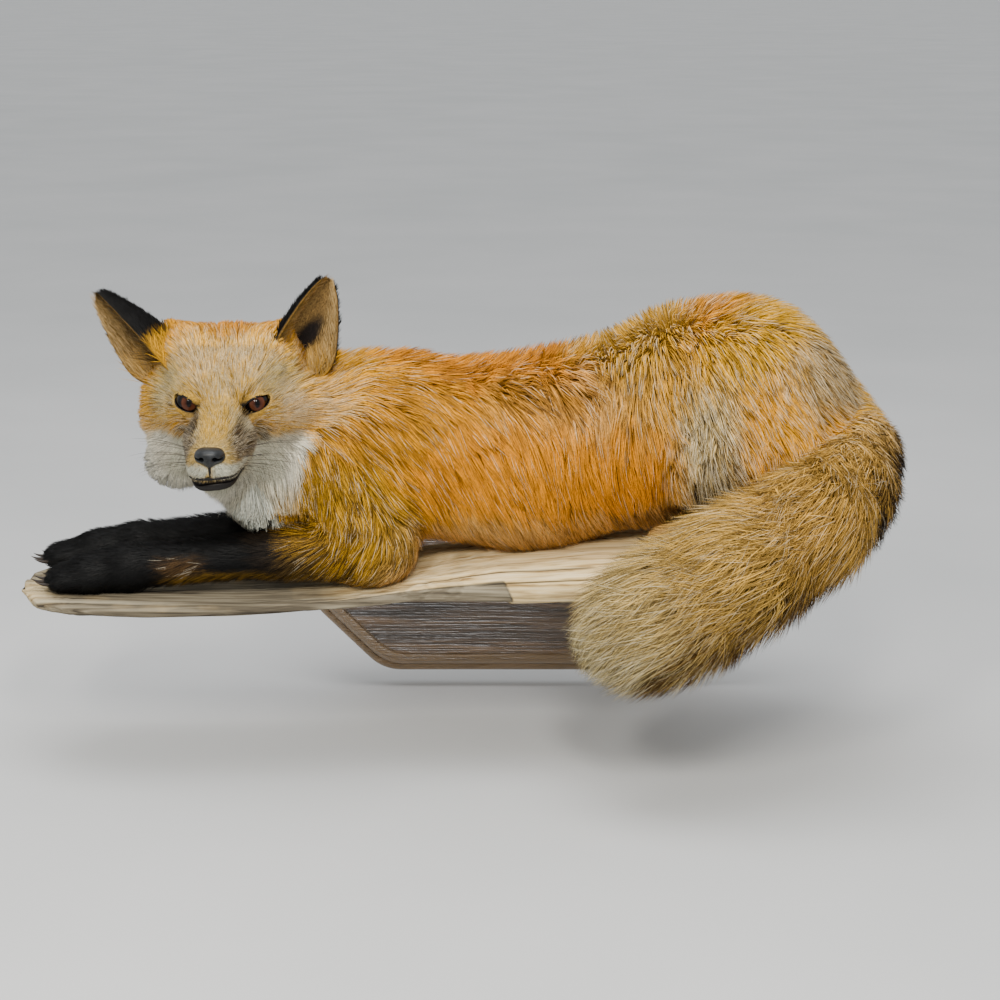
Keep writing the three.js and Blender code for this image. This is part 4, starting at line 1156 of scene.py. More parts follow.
def swept(path, out, thick, tall):
    """The rings of a roll of hide along a path. out is the way that each ring faces."""
    along = np.gradient(path, axis=0)
    along /= np.linalg.norm(along, axis=1, keepdims=True)
    across = np.cross(along, out)
    across /= np.linalg.norm(across, axis=1, keepdims=True) + 1e-9
    turn = np.arange(LID_SECTION) / LID_SECTION * 2 * math.pi
    return [
        p + np.outer(np.cos(turn) * h, a) + np.outer(np.sin(turn) * t, o)
        for p, a, o, t, h in zip(path, across, out, thick, tall)
    ]


def lid_roll(eye):
    """The ring of bare lid round one eye, fuller above, where it shades the glass."""
    turn = np.linspace(0, 2 * math.pi, LID_AROUND, endpoint=False)
    above = np.clip(np.sin(turn), 0, 1)
    inner = eye.rim(turn, EYE_RADIUS + 0.7, swell=0.5)
    out = inner - eye.middle
    out /= np.linalg.norm(out, axis=1, keepdims=True)
    path = inner + out * (0.35 * above[:, None])
    along = np.roll(path, -1, 0) - np.roll(path, 1, 0)
    along /= np.linalg.norm(along, axis=1, keepdims=True)
    across = np.cross(along, out)
    section = np.arange(LID_SECTION) / LID_SECTION * 2 * math.pi
    thick = 0.7 + 0.3 * above
    tall = 0.75 + 0.35 * above + 0.6 * np.clip(-np.cos(turn), 0, 1) ** 4
    rings = (
        path[:, None]
        + np.cos(section)[None, :, None] * tall[:, None, None] * across[:, None]
        + np.sin(section)[None, :, None] * thick[:, None, None] * out[:, None]
    )
    here = np.arange(LID_AROUND * LID_SECTION).reshape(LID_AROUND, LID_SECTION)
    onward, beside = np.roll(here, -1, 0), np.roll(here, -1, 1)
    both = np.roll(onward, -1, 1)
    return rings.reshape(-1, 3), np.stack([here, beside, both, onward], -1).reshape(-1, 4)


glass = painted_glass()
# Bare black hide at the lids' edge, faintly moist.
lid_hide = mottled("bare_black_lid", (0.6, 0.6, 0.6), 2, "0A0807", "181310", rise=0.2,
                   Roughness=0.5, Specular_IOR_Level=0.22)  # fmt: skip
for eye in eyes:
    ball = glass_eye(eye, glass)
    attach(ball, "root")
    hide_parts("eye_left" if eye.side > 0 else "eye_right")
    lid = piece_of("lid_" + ("left" if eye.side > 0 else "right"), *lid_roll(eye), lid_hide)
    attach(lid, "root")

# ---------------------------------------------------------------- nose and lips
# The nose is the hide's own pad, rebuilt in epoxy over the form, pebbled and painted slate black.
# Under it a groove runs down to the lips, whose bare dark edges show between the two jaws.

NOSE_MIDDLE = (56, 0, -24)
NOSE_GRID = 0.42
NOSE_BOX = np.array([16.0, 13.0, 12.0])
PAD_HALF = (8.6, 8.9, 5.0)  # half the pad's length, width and height
PAD_POWER = 2.6  # above 2 its sides are flatter and its corners fuller than an egg's
PEBBLE = 0.75  # the pad's pebbles, across
LIP_SPOTS = 61
LIP_SWEEP = 1.4  # radians of the bow on each side of the lips' middle


def nose_form(points):
    """The pad: a wide flat top, a rounded front, two wings round comma-shaped nostrils."""
    ahead, left, up = (from_head(points) - NOSE_MIDDLE).T
    side = np.abs(left)
    # The pad, a wing on each side of it, and the foot that runs down to the groove.
    shares = zip((np.abs(ahead), side, np.abs(up - 1.0)), PAD_HALF)
    pad = (sum((far / half) ** PAD_POWER for far, half in shares) ** (1 / PAD_POWER) - 1) * 5.8
    wing = np.sqrt((ahead + 0.5) ** 2 + (side - 5.8) ** 2 + (up + 0.4) ** 2) - 4.4
    foot = np.sqrt(((ahead + 0.2) / 1.5) ** 2 + left**2 + ((up + 4.0) / 1.1) ** 2) - 3.9
    form = blended((pad, 0 * points), (wing, 0 * points), 3.5)[0]
    form = blended((form, 0 * points), (foot, 0 * points), 3.5)[0]
    # Each nostril is a round hole with a comma-shaped slot behind it, and a groove parts the two.
    hole = np.sqrt((side - 4.6) ** 2 + ((up + 0.8) / 0.9) ** 2 + ((ahead - 7.0) / 3.2) ** 2) - 1.7
    curl = up + 1.5 - 0.05 * np.clip(side - 5, 0, 9) ** 2
    comma = np.sqrt(curl**2 + np.clip(4.8 - side, 0, 9) ** 2 + np.clip(side - 9.5, 0, 9) ** 2) - 0.75
    slot = np.maximum(comma, 1.0 - ahead)
    groove = np.sqrt(left**2 + ((ahead - 8.6) / 1.6) ** 2 + np.clip(up + 1.5, 0, 9) ** 2) - 0.7
    for cut, blend in ((hole, 1.2), (slot, 0.8), (groove, 0.8)):
        form = -blended((-form, 0 * points), (cut, 0 * points), blend)[0]
    return np.maximum(form, -(ahead + 9))


def nose_hide():
    """Painted epoxy nose leather: slate black, pebbled, moist enough for soft highlights."""
    material, tree, shader = new_finish("pebbled_nose_hide", Roughness=0.4, Specular_IOR_Level=0.36)
    place = add(tree, "ShaderNodeTexCoord").outputs["Object"]
    pebbles = add(tree, "ShaderNodeTexVoronoi", {"Vector": place, "Scale": 1 / (PEBBLE * MM)})
    cloud = add(tree, "ShaderNodeTexNoise", {"Vector": place, "Scale": 1 / 0.006, "Detail": 2})
    colour = add(tree, "ShaderNodeValToRGB", {"Fac": cloud}, stops=[(0.35, "0E0F10"), (0.7, "24272A")])
    tree.links.new(colour.outputs["Color"], shader.inputs["Base Color"])
    bump = add(
        tree, "ShaderNodeBump", {"Height": pebbles, "Strength": 0.45, "Distance": 0.00025}, invert=True
    )
    tree.links.new(bump.outputs["Normal"], shader.inputs["Normal"])
    return material


def onto_skin(points, lift):
    """Moves points straight out to the head's skin and lift beyond it."""
    for _ in range(6):
        far, out, _, _ = felt(points, head_groups)
        points = points + out * (lift - far)[:, None]
    return points, felt(points, head_groups)[1]


def bow(corner, reach, middle, half_width, low, rise):
    """Spots of the head's frame on a bow round the muzzle, from one corner of the mouth to the other."""
    turn = sweep * LIP_SWEEP
    ahead = corner + reach * np.cos(turn) ** 0.8
    return np.stack([ahead, middle + half_width * np.sin(turn), low + rise * np.abs(sweep) ** 1.8], 1)


def lip(spots, thick, tall, lift):
    """A roll of bare hide along spots of the head's frame, laid on the skin and lift proud of it."""
    path = np.array([in_head(*spot) for spot in spots])
    path, out = onto_skin(path, lift)
    return loft(swept(path, out, thick, tall))


nose_at = in_head(*NOSE_MIDDLE)
leather = nose_hide()
pad = piece_of("nose_pad", *shell(nose_form, nose_at - NOSE_BOX, nose_at + NOSE_BOX, NOSE_GRID), leather)
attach(pad, "root")
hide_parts("nose")

sweep = np.linspace(-1, 1, LIP_SPOTS)
taper = np.sqrt(np.clip(1 - np.abs(sweep) ** 3, 0, 1)) + 0.05
lower = bow(14, 36, 2.5, 17.2, -45.4, 2.4)
upper = bow(10, 46, 3.0, 28, -40.4, -0.2)
folds = {
    "lip_lower": lip(lower, 1.2 * taper, 3.5 * taper * (1 - 0.65 * np.abs(sweep) ** 1.5), 0.9),
    "lip_upper": lip(upper, 0.8 * taper, 1.1 * taper, 0.3),
}
drop = np.linspace(0, 1, 16)
under_nose = np.stack([60 - 1.5 * drop, 0 * drop, -31 - 8.0 * drop], 1)
narrow = 0.8 + 0.25 * (1 - drop)
folds["groove_under_nose"] = lip(under_nose, 0.6 * narrow, narrow, 0.25)
for name, made in folds.items():
    fold = piece_of(name, *made, lid_hide)
    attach(fold, "root")

# ---------------------------------------------------------------- claws and whiskers
# The fox's own claws, sixteen blunt hooks of dark horn at the toes' ends, and its stiff whiskers,
# a dozen on each side of the muzzle with three over each eye. Both are left in the skin.

CLAW_LENGTH = 13
CLAW_THICK = 0.13  # as a share of its length
CLAW_BEND = 0.3
WHISKER_ROWS = 4
WHISKERS_IN_ROW = 3
WHISKER_THICK = 0.0032  # as a share of its length
WHISKER_BEND = 0.14
WHISKER_SUNK = 0.6  # how far its root is inside the skin


def growth_tree(name, around, material):
    """Geometry Nodes that grow a tapered, bent shape out of each point, as far as its reach."""
    tree = bpy.data.node_groups.new(name, "GeometryNodeTree")
    tree.interface.new_socket("Geometry", in_out="INPUT", socket_type="NodeSocketGeometry")
    for label in ("Thickness", "Bend", "Unevenness"):
        tree.interface.new_socket(label, in_out="INPUT", socket_type="NodeSocketFloat")
    tree.interface.new_socket("Geometry", in_out="OUTPUT", socket_type="NodeSocketGeometry")
    given = add(tree, "NodeGroupInput").outputs
    droop = add(tree, "ShaderNodeMath", {0: given["Bend"], 1: -1.0}, operation="MULTIPLY")
    rise = add(tree, "ShaderNodeMath", {0: given["Bend"], 1: 0.4}, operation="MULTIPLY")
    middle = add(tree, "ShaderNodeCombineXYZ", {0: 0.5, 2: rise})
    end = add(tree, "ShaderNodeCombineXYZ", {0: 1.0, 2: droop})
    line = add(
        tree,
        "GeometryNodeCurveQuadraticBezier",
        {"Resolution": 9, "Start": (0, 0, 0), "Middle": middle, "End": end},
    )
    place = add(tree, "GeometryNodeSplineParameter").outputs["Factor"]
    narrowed = add(tree, "ShaderNodeMath", {0: place, 1: 1.6}, operation="POWER")
    taper = add(tree, "ShaderNodeMath", {0: 1.04, 1: narrowed}, operation="SUBTRACT")
    section = add(
        tree, "GeometryNodeCurvePrimitiveCircle", {"Resolution": around, "Radius": given["Thickness"]}
    )
    shape = add(
        tree,
        "GeometryNodeCurveToMesh",
        {"Curve": line, "Profile Curve": section, "Scale": taper, "Fill Caps": True},
    )
    reach = add(tree, "GeometryNodeInputNamedAttribute", {"Name": "reach"}, data_type="FLOAT_VECTOR")
    turned = add(
        tree, "FunctionNodeAlignRotationToVector", {"Vector": reach.outputs["Attribute"]}, axis="X"
    )
    length = add(tree, "ShaderNodeVectorMath", {0: reach.outputs["Attribute"]}, operation="LENGTH")
    least = add(tree, "ShaderNodeMath", {0: 1.0, 1: given["Unevenness"]}, operation="SUBTRACT")
    most = add(tree, "ShaderNodeMath", {0: 1.0, 1: given["Unevenness"]}, operation="ADD")
    uneven = add(tree, "FunctionNodeRandomValue", {2: least, 3: most, "Seed": 5})
    size = add(
        tree, "ShaderNodeMath", {0: length.outputs["Value"], 1: uneven.outputs[1]}, operation="MULTIPLY"
    )
    grown_shapes = add(
        tree,
        "GeometryNodeInstanceOnPoints",
        {"Points": given["Geometry"], "Instance": shape, "Rotation": turned, "Scale": size},
    )
    plain = add(tree, "GeometryNodeRealizeInstances", {"Geometry": grown_shapes})
    smooth = add(tree, "GeometryNodeSetShadeSmooth", {"Geometry": plain})
    coloured = add(tree, "GeometryNodeSetMaterial", {"Geometry": smooth, "Material": material})
    add(tree, "NodeGroupOutput", {"Geometry": coloured})
    return tree


def sprouted(name, roots, reach, tree, **sizes):
    """One plain mesh of what a growth tree makes on some roots, each with its own reach."""
    mesh = bpy.data.meshes.new(name)
    mesh.from_pydata((np.asarray(roots) * MM).tolist(), [], [])
    layer = mesh.attributes.new("reach", "FLOAT_VECTOR", "POINT")
    layer.data.foreach_set("vector", (np.asarray(reach) * MM).astype(np.float32).ravel())
    seed_bed = bpy.data.objects.new(name, mesh)
    bpy.context.collection.objects.link(seed_bed)
    grow = seed_bed.modifiers.new("grow", "NODES")
    grow.node_group = tree
    for item in tree.interface.items_tree:
        if item.name in sizes:
            grow[item.identifier] = sizes[item.name]
    result = seed_bed.evaluated_get(bpy.context.evaluated_depsgraph_get())
    made = bpy.data.meshes.new_from_object(result)
    seed_bed.modifiers.remove(grow)
    bpy.data.objects.remove(seed_bed)
    piece = bpy.data.objects.new(name, made)
    bpy.context.collection.objects.link(piece)
    return piece


# Claw horn: near black at the quick, browner and streaked along its length, with a dull gloss.
horn = mottled("claw_horn", (6, 0.7, 0.7), 2, "16120F", "372B22", Roughness=0.45, Specular_IOR_Level=0.35)
# A whisker: smooth black hair, thick enough to shine along its length.
stiff_hair = mottled("whisker_hair", (20, 20, 20), 1, "120E0C", "3A2E25", Roughness=0.3,
                     Specular_IOR_Level=0.3)  # fmt: skip

# Each claw starts inside its toe.
toe_ends, claw_reach = [], []
for leg in legs.values():
    for toe in leg[-4:]:
        toe_ends.append(toe.end + (-toe.end_radius * 0.75, 0, -toe.end_radius * 0.1))
        claw_reach.append(np.array([-0.94, 0, -0.2]) * CLAW_LENGTH)
claws = sprouted("claws", toe_ends, claw_reach, growth_tree("claw_growth", 10, horn),
                 Thickness=CLAW_THICK, Bend=CLAW_BEND, Unevenness=0.08)  # fmt: skip
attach(claws, "root")

whisker_roots, whisker_reach = [], []
for side in (1, -1):
    for row in range(WHISKER_ROWS):
        for place in range(WHISKERS_IN_ROW):
            spot = (42 - 6.5 * place - 1.5 * row, side * (12 + 1.2 * place), -26 - 3.0 * row)
            heading = np.array([-0.25 - 0.12 * place, side, 0.12 - 0.11 * row])
            length = 40 + 9 * place - 3 * row
            whisker_roots.append(in_head(*spot))
            whisker_reach.append(eyes[0].turned(heading / np.linalg.norm(heading)) * length)
    for place in range(3):
        whisker_roots.append(in_head(-6 - 4 * place, side * (17 + 4 * place), 16))
        heading = np.array([0.5, side * 0.5, 0.75])
        whisker_reach.append(eyes[0].turned(heading / np.linalg.norm(heading)) * (26 + 3 * place))
whisker_roots = onto_skin(np.array(whisker_roots), -WHISKER_SUNK)[0]
whisker_growth = growth_tree("whisker_growth", 5, stiff_hair)
whiskers = sprouted("whiskers", whisker_roots, whisker_reach, whisker_growth,
                    Thickness=WHISKER_THICK, Bend=WHISKER_BEND, Unevenness=0.15)  # fmt: skip
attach(whiskers, "root")

# ---------------------------------------------------------------- coat
# The fox's own winter coat: underfur and guard hair in fine locks that lie along the body, short
# and flat on the face and feet, silky on the flanks, and standing out round the brush. Each lock
# is led over the muscles under it step by step, which a node tree can't feel.

ROOT_SUNK = 0.5  # how far a lock's root is inside the skin
LOCK_WIDE = (0.8, 1.0, 0.72)  # its width at the root, a third and two thirds of its way
LOCK_RIDGE = 0.5  # its thickness against its width
LOCK_KEEL = 0.3  # how much of that thickness lies under its path
LOCK_LEAN = 0.9  # how far its two sides lean apart where they catch the light
CLUMP_UNEVEN = 0.2  # how much lighter or darker one clump is than the next
LOCK_UNEVEN = 0.18  # and one lock than its neighbour
PATCH_OF_UV = 0.003  # how much of the map one lock takes
UNDERFUR = 0.55  # how dark a lock is at its root
BRIGHTEST = 0.95  # a brighter lock is dimmed to this, so that it keeps its hue
WALL_SIDE_BARER = 0.3  # the side that faces the wall has this share less hair
NOSE_BARE = (10, 10.5, 7.5)  # no hair grows this near the nose's middle: ahead, to a side, up
LIDS_BARE = 1.1  # nor this near the opening between the lids
LIPS_BARE = 1.6  # nor this near the lips
TIP_DARK = linear("1F1610")
TIP_PALE = linear("F1E6CB")
chance = np.random.default_rng(11)


def unit(vectors):
    """Vectors of the same directions, one long."""
    return vectors / (np.linalg.norm(vectors, axis=-1, keepdims=True) + 1e-9)


def fur_finish(name, roughness, shine):
    """Fox hair: each lock dark at its root and clear coloured above, with a silky sheen."""
    material, tree, shader = new_finish(name, Roughness=roughness, Specular_IOR_Level=shine)
    lock = add(tree, "ShaderNodeAttribute", attribute_name="lock")
    place = add(tree, "ShaderNodeTexCoord").outputs["Object"]
    strands = add(tree, "ShaderNodeTexNoise", {"Vector": place, "Scale": 1 / 0.0018, "Detail": 1})
    light = add(tree, "ShaderNodeValToRGB", {"Fac": strands}, stops=[(0.3, "D8D8D8"), (0.7, "FFFFFF")])
    colour = add(
        tree,
        "ShaderNodeMix",
        {0: 1.0, 6: lock.outputs["Color"], 7: light},
        data_type="RGBA",
        blend_type="MULTIPLY",
    )
    tree.links.new(colour.outputs[2], shader.inputs["Base Color"])
    return material


def unwrapped(points, axes):
    """The skin unrolled round the nearest of some axes: the share along it, and the turn round it."""
    best = np.full(len(points), 1e9)
    flat = np.zeros((len(points), 2))
    for number, axis in enumerate(axes):
        axis = np.asarray(axis, float)
        lengths = np.linalg.norm(np.diff(axis, axis=0), axis=1)
        for i, (start, end) in enumerate(zip(axis, axis[1:])):
            bone = end - start
            share = np.clip((points - start) @ bone / (bone @ bone), 0, 1)
            off = points - start - share[:, None] * bone
            far = np.linalg.norm(off, axis=1)
            side = unit(np.cross(bone, (0.1, 0, 1)))
            turn = np.arctan2(off @ unit(np.cross(side, bone)), off @ side) / (2 * math.pi) + 0.5
            along = (lengths[:i].sum() + share * lengths[i]) / lengths.sum()
            nearer = far < best
            best[nearer] = far[nearer]
            flat[nearer] = np.stack([(number + 0.02 + 0.96 * along) / len(axes), turn], 1)[nearer]
    return 0.004 + flat * 0.99  # a margin for the locks at the map's edge


def locks(name, path, out, width, colours, flat, material):
    """One piece of coat: closed three-sided locks along paths, wide at mid length, ending in a point.

    path, out and colours hold one row for each section of every lock, and flat each root's place
    on the skin's unwrap."""
    sections, amount = path.shape[0] - 1, path.shape[1]
    along = unit(np.gradient(path, axis=0))
    across = unit(np.cross(along, out))
    ridge = np.cross(across, along)
    swell = np.interp(np.arange(sections) / sections, (0, 1 / 3, 2 / 3), LOCK_WIDE)
    wide = swell[:, None, None] * width[:, None]
    low = path[:-1] - ridge[:-1] * wide * LOCK_RIDGE * LOCK_KEEL
    high = path[:-1] + ridge[:-1] * wide * LOCK_RIDGE
    rows = [low - across[:-1] * wide / 2, low + across[:-1] * wide / 2, high]
    points = np.stack(rows, 1).reshape(sections * 3, amount, 3)
    points = np.concatenate([points, path[-1:]]).transpose(1, 0, 2).reshape(-1, 3)
    faces = [(0, 1, 2)]
    for row in range(sections - 1):
        for side in range(3):
            a, b = 3 * row + side, 3 * row + (side + 1) % 3
            faces += [(b, a, a + 3), (b, a + 3, b + 3)]
    last = 3 * (sections - 1)
    faces += [(last + (side + 1) % 3, last + side, last + 3) for side in range(3)]
    each = 3 * sections + 1
    all_faces = (np.array(faces)[None] + each * np.arange(amount)[:, None, None]).reshape(-1, 3)
    piece = piece_of(name, points, all_faces, material)

    repeat = np.append(np.repeat(np.arange(sections), 3), sections)
    colours = colours / np.maximum(colours.max(-1, keepdims=True) / BRIGHTEST, 1)
    note(piece, "lock", colours[repeat].transpose(1, 0, 2).reshape(-1, 3))
    aside = across[:-1] * LOCK_LEAN
    lean = [unit(out[:-1] - aside), unit(out[:-1] + aside), out[:-1]]
    lean = np.concatenate([np.stack(lean, 1).reshape(sections * 3, amount, 3), out[-1:]])
    piece.data.normals_split_custom_set_from_vertices(lean.transpose(1, 0, 2).reshape(-1, 3).tolist())
    step = np.append(np.repeat(np.arange(sections) / sections, 3), 1.0)
    spread = np.append(np.tile((-0.5, 0.5, 0.0), sections), 0.0)
    offset = np.stack([step - 0.5, spread], 1) * PATCH_OF_UV
    spots = (flat[:, None] + offset[None]).reshape(-1, 2)
    layer = piece.data.uv_layers.new(name="OFBake")
    layer.data.foreach_set("uv", spots[facing_out(points, all_faces).ravel()].astype(np.float32).ravel())
    return piece


def clumps_of(roots, size):
    """Which clump each lock belongs to: small neighbourhoods with uneven borders."""
    moved = roots + size * 0.6 * np.stack([wander(roots, (size * 3,) * 3, 60 + i) for i in range(3)], 1)
    # Large odd numbers give cells that lie near each other keys that don't meet.
    keys = np.floor(moved / size).astype(int) @ np.array([73856093, 19349663, 83492791])
    return np.unique(keys, return_inverse=True)[1]


def gathered(path, clump, pull):
    """Draws the locks of each clump together towards their tips."""
    counts = np.bincount(clump)
    for row in range(1, len(path)):
        middle = np.stack([np.bincount(clump, path[row][:, i]) / counts for i in range(3)], 1)
        share = pull * (row / (len(path) - 1)) ** 1.5
        path[row] += (middle[clump] - path[row]) * share
    return path


def tinted(colour, dark, pale, clump, sections):
    """Each section's colour: dark underfur at the root, then the marking, then its own tip."""
    amount = len(colour)
    shade = 1 + CLUMP_UNEVEN * chance.normal(size=clump.max() + 1)[clump]
    shade = shade + LOCK_UNEVEN * chance.normal(size=amount)
    body = colour * np.clip(shade, 0.55, 1.5)[:, None]
    draw = chance.random(amount)
    dark_tip = draw < dark
    pale_tip = ~dark_tip & (draw < dark + pale)
    fleck = 0.55 if sections == 1 else 0.2
    body[dark_tip] *= 1 - fleck
    body[pale_tip] += (TIP_PALE - body[pale_tip]) * fleck * 0.5
    tip = body * 1.12
    tip[dark_tip] = TIP_DARK + (body[dark_tip] - TIP_DARK) * 0.12
    tip[pale_tip] = body[pale_tip] + (TIP_PALE - body[pale_tip]) * 0.55
    rows = []
    for row in range(sections + 1):
        s = row / sections
        base = body * (UNDERFUR + (1 - UNDERFUR) * min(s / 0.45, 1))
        rows.append(base + (tip - base) * eased(np.array(s), 0.3, 1.0))
    return np.stack(rows)


def grown(roots, sections, pull, clump_size, stray):
    """The paths of locks from their roots, hugging the form, the ways out of it, and their colours."""
    _, out, traits, home = felt(roots)
    clump = clumps_of(roots, clump_size)
    amount = len(roots)
    flow = traits[:, LIE] + traits[:, [FROM_NOSE]] * unit(roots - nose_at)
    onward = flow - (flow * out).sum(1, keepdims=True) * out
    slope = np.linalg.norm(onward, axis=1) / (np.linalg.norm(flow, axis=1) + 1e-9)
    onward = unit(onward)
    # The flow wanders over the body, and clumps and single locks stray from it.
    turn = 0.2 * wander(roots, (60, 60, 60), 51) + 0.16 * wander(roots, (20, 20, 20), 52)
    turn += stray * (0.8 * chance.normal(size=clump.max() + 1)[clump] + 0.6 * chance.normal(size=amount))
    onward = onward * np.cos(turn)[:, None] + np.cross(out, onward) * np.sin(turn)[:, None]
    # Each lock's length, how high its tip stands, and how far it runs along the form.
    long = traits[:, LENGTH] * (0.82 + 0.32 * chance.random(amount))
    long *= 1 + 0.1 * chance.normal(size=clump.max() + 1)[clump]
    high = traits[:, DEPTH] * np.clip(0.6 + 0.45 * chance.random(amount) ** 0.8, 0, 1.02)
    high = np.minimum(high, 0.93 * long)
    run = np.sqrt(long**2 - high**2) * np.clip(1.5 * slope, 0.1, 1)
    here = roots.copy()
    path, outs = [roots - out * ROOT_SUNK], [out]
    for row in range(1, sections + 1):
        s = row / sections
        here = here + onward * (run / sections)[:, None]
        far, out_here, _, _ = felt(here)
        here = here + out_here * (high * (1 - (1 - s) ** 1.6) - far)[:, None]
        onward = unit(onward - (onward * out_here).sum(1, keepdims=True) * out_here)
        path.append(here)
        outs.append(out_here)
    colour, dark, pale = markings(roots, out, traits, home)
    path = gathered(np.stack(path), clump, pull)
    return path, np.stack(outs), tinted(colour, dark, pale, clump, sections)


def rooted(piece, closeness):
    """Roots spread over a skin, as close as its coat is thick, leaving eyes, nose and lips bare."""
    mesh = piece.data
    mesh.calc_loop_triangles()
    corners = np.empty(len(mesh.loop_triangles) * 3, np.int32)
    mesh.loop_triangles.foreach_get("vertices", corners)
    corners = corners.reshape(-1, 3)
    crowd = traits[:, CROWD] * (1 - WALL_SIDE_BARER * eased(out[:, 1], 0.2, 0.7)) * ~on_ear
    a, b, c = places[corners[:, 0]], places[corners[:, 1]], places[corners[:, 2]]
    area = np.linalg.norm(np.cross(b - a, c - a), axis=1) / 2
    wanted = np.cumsum(area * crowd[corners].mean(1) * closeness)
    amount = int(math.ceil(wanted[-1] - 1))
    picks = np.searchsorted(wanted, np.arange(amount) + chance.random(amount))
    u, v = chance.random((2, len(picks), 1))
    over = u + v > 1
    u, v = np.where(over, 1 - u, u), np.where(over, 1 - v, v)
    roots = a[picks] + (b[picks] - a[picks]) * u + (c[picks] - a[picks]) * v
    keep = np.linalg.norm((from_head(roots) - NOSE_MIDDLE) / NOSE_BARE, axis=1) > 1
    for eye in eyes:
        _, across, up = eye.seen(roots)
        height = np.where(up > 0, OPENING_ABOVE, OPENING_BELOW) + LIDS_BARE
        near = np.linalg.norm(roots - eye.middle, axis=1) < EYE_RADIUS + 6
        keep &= ~(near & (np.hypot(across / (OPENING_WIDTH / 2 + LIDS_BARE), up / height) < 1))
    for made in folds.values():
        points = made[0][::LID_SECTION]
        for first in range(0, len(points), 8):
            gap = np.linalg.norm(roots[:, None] - points[None, first : first + 8], axis=2).min(1)
            keep &= gap > LIPS_BARE
    return roots[keep]


SPINE = [(-212, -186, 108), (-134, BODY_Y, 104), (-40, BODY_Y, 97), (60, BODY_Y, 104), (130, BODY_Y, 122),
         (206, BODY_Y, 117)]  # fmt: skip
HEAD_LINE = [in_head(52, 0, -27), in_head(10, 0, -18), in_head(-25, 0, -6), in_head(-70, 0, -6)]
TAIL_LINE = [at for at, _, _ in TAIL]
LEG_LINES = [FORE_NEAR[1:], FORE_FAR[1:], HIND_NEAR[1:], HIND_FAR[1:]]
red_fur = fur_finish("red_fox_hair", 0.52, shine=0.12)
pale_fur = fur_finish("white_fox_hair", 0.6, shine=0.12)
black_fur = fur_finish("black_fox_hair", 0.45, shine=0.12)
brush_fur = fur_finish("brush_hair", 0.6, shine=0.1)

# Each piece of coat: its muscles, sections in a lock, its width, how much closer than its muscles
# say its locks stand, how much and how far they clump, how much they stray, what it is unwrapped
# round, its finish and the record's slot for it.
Coat = namedtuple("Coat", "groups sections width closer pull clump stray axes finish slot")
COATS = {
    "coat_face": Coat(("face",), 1, 0.46, 2.4, 0.12, 2.6, 0.14, [HEAD_LINE], red_fur, "red_fur"),
    "coat_ruff": Coat(("ruff",), 2, 0.62, 1.35, 0.45, 4.5, 0.16, [HEAD_LINE], pale_fur, "pale_fur"),
    "coat_bib": Coat(("bib",), 2, 0.72, 1.7, 0.45, 5, 0.18, [SPINE], pale_fur, "pale_fur"),
    "coat_neck": Coat(("neck",), 2, 0.8, 1.6, 0.4, 6, 0.14, [SPINE], red_fur, "red_fur"),
    "coat_shoulders": Coat(("shoulder",), 2, 0.8, 1.4, 0.45, 6, 0.18, [SPINE], red_fur, "red_fur"),
    "coat_flanks": Coat(("flank",), 2, 0.82, 1.45, 0.4, 7, 0.12, [SPINE], red_fur, "red_fur"),
    "coat_loin": Coat(("loin",), 2, 0.82, 1.25, 0.4, 7, 0.12, [SPINE], red_fur, "red_fur"),
    "coat_haunches": Coat(("haunch",), 2, 0.82, 1.3, 0.35, 6, 0.14, [SPINE], red_fur, "red_fur"),
    "coat_rump": Coat(("rump",), 2, 0.82, 1.25, 0.35, 6, 0.14, [SPINE], red_fur, "red_fur"),
    "coat_legs": Coat(tuple(legs), 1, 0.7, 0.9, 0.3, 4, 0.14, LEG_LINES, black_fur, "black_fur"),
    "coat_brush_root": Coat(("brush_root",), 2, 0.7, 1.2, 0.2, 6, 0.3, [TAIL_LINE], brush_fur, "tail_fur"),
    "coat_brush_end": Coat(("brush_end",), 2, 0.7, 1.6, 0.2, 6, 0.3, [TAIL_LINE], brush_fur, "tail_fur"),
}
MOST_CLOSE = max(style.closer for style in COATS.values())
FACE_BACK = -24  # hair further back on the head than this belongs to the ruff
BRUSH_ROOT_ENDS = 5  # and hair on the tail's first lengths, up to this one, to the brush's root
MOST_LOCKS = {1: 48000, 2: 18600}  # by sections: keeps each piece under 200,000 triangles

roots = rooted(skin, MOST_CLOSE)
home_of = felt(roots)[3]
groups = np.array([part.group for parts, _ in GROUPS for part in parts], dtype="U20")[home_of]
on_head = groups == "head"
ahead = from_head(roots)[:, 0]
groups[on_head & (ahead > FACE_BACK)] = "face"
groups[on_head & (ahead <= FACE_BACK)] = "ruff"
tail_first = sum(len(parts) for parts, _ in GROUPS[:-2])
groups[(groups == "tail") & (home_of < tail_first + BRUSH_ROOT_ENDS)] = "brush_root"
groups[groups == "tail"] = "brush_end"
for name, style in COATS.items():
    mine = roots[np.isin(groups, style.groups)]
    mine = mine[chance.random(len(mine)) < style.closer / MOST_CLOSE]
    if len(mine) > MOST_LOCKS[style.sections]:
        mine = mine[chance.permutation(len(mine))[: MOST_LOCKS[style.sections]]]
    path, outs, colours = grown(mine, style.sections, style.pull, style.clump, style.stray)
    width = style.width * (0.75 + 0.5 * chance.random(len(mine)))
    fur = locks(name, path, outs, width, colours, unwrapped(mine, style.axes), style.finish)
    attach(fur, "root")

# ---------------------------------------------------------------- ears' hair
# Black velvet behind, which runs down into the orange of the crown, and inside a lining of thin
# cream hairs that grow from both edges and cross over the hollow, which is darkened as painted shade.

VELVET = 6.5  # the hair's length behind an ear
LINING = 12  # and the longest inside it
EAR_LOCKS = 6500  # on each ear
EAR_CREAM = linear("BFA473")


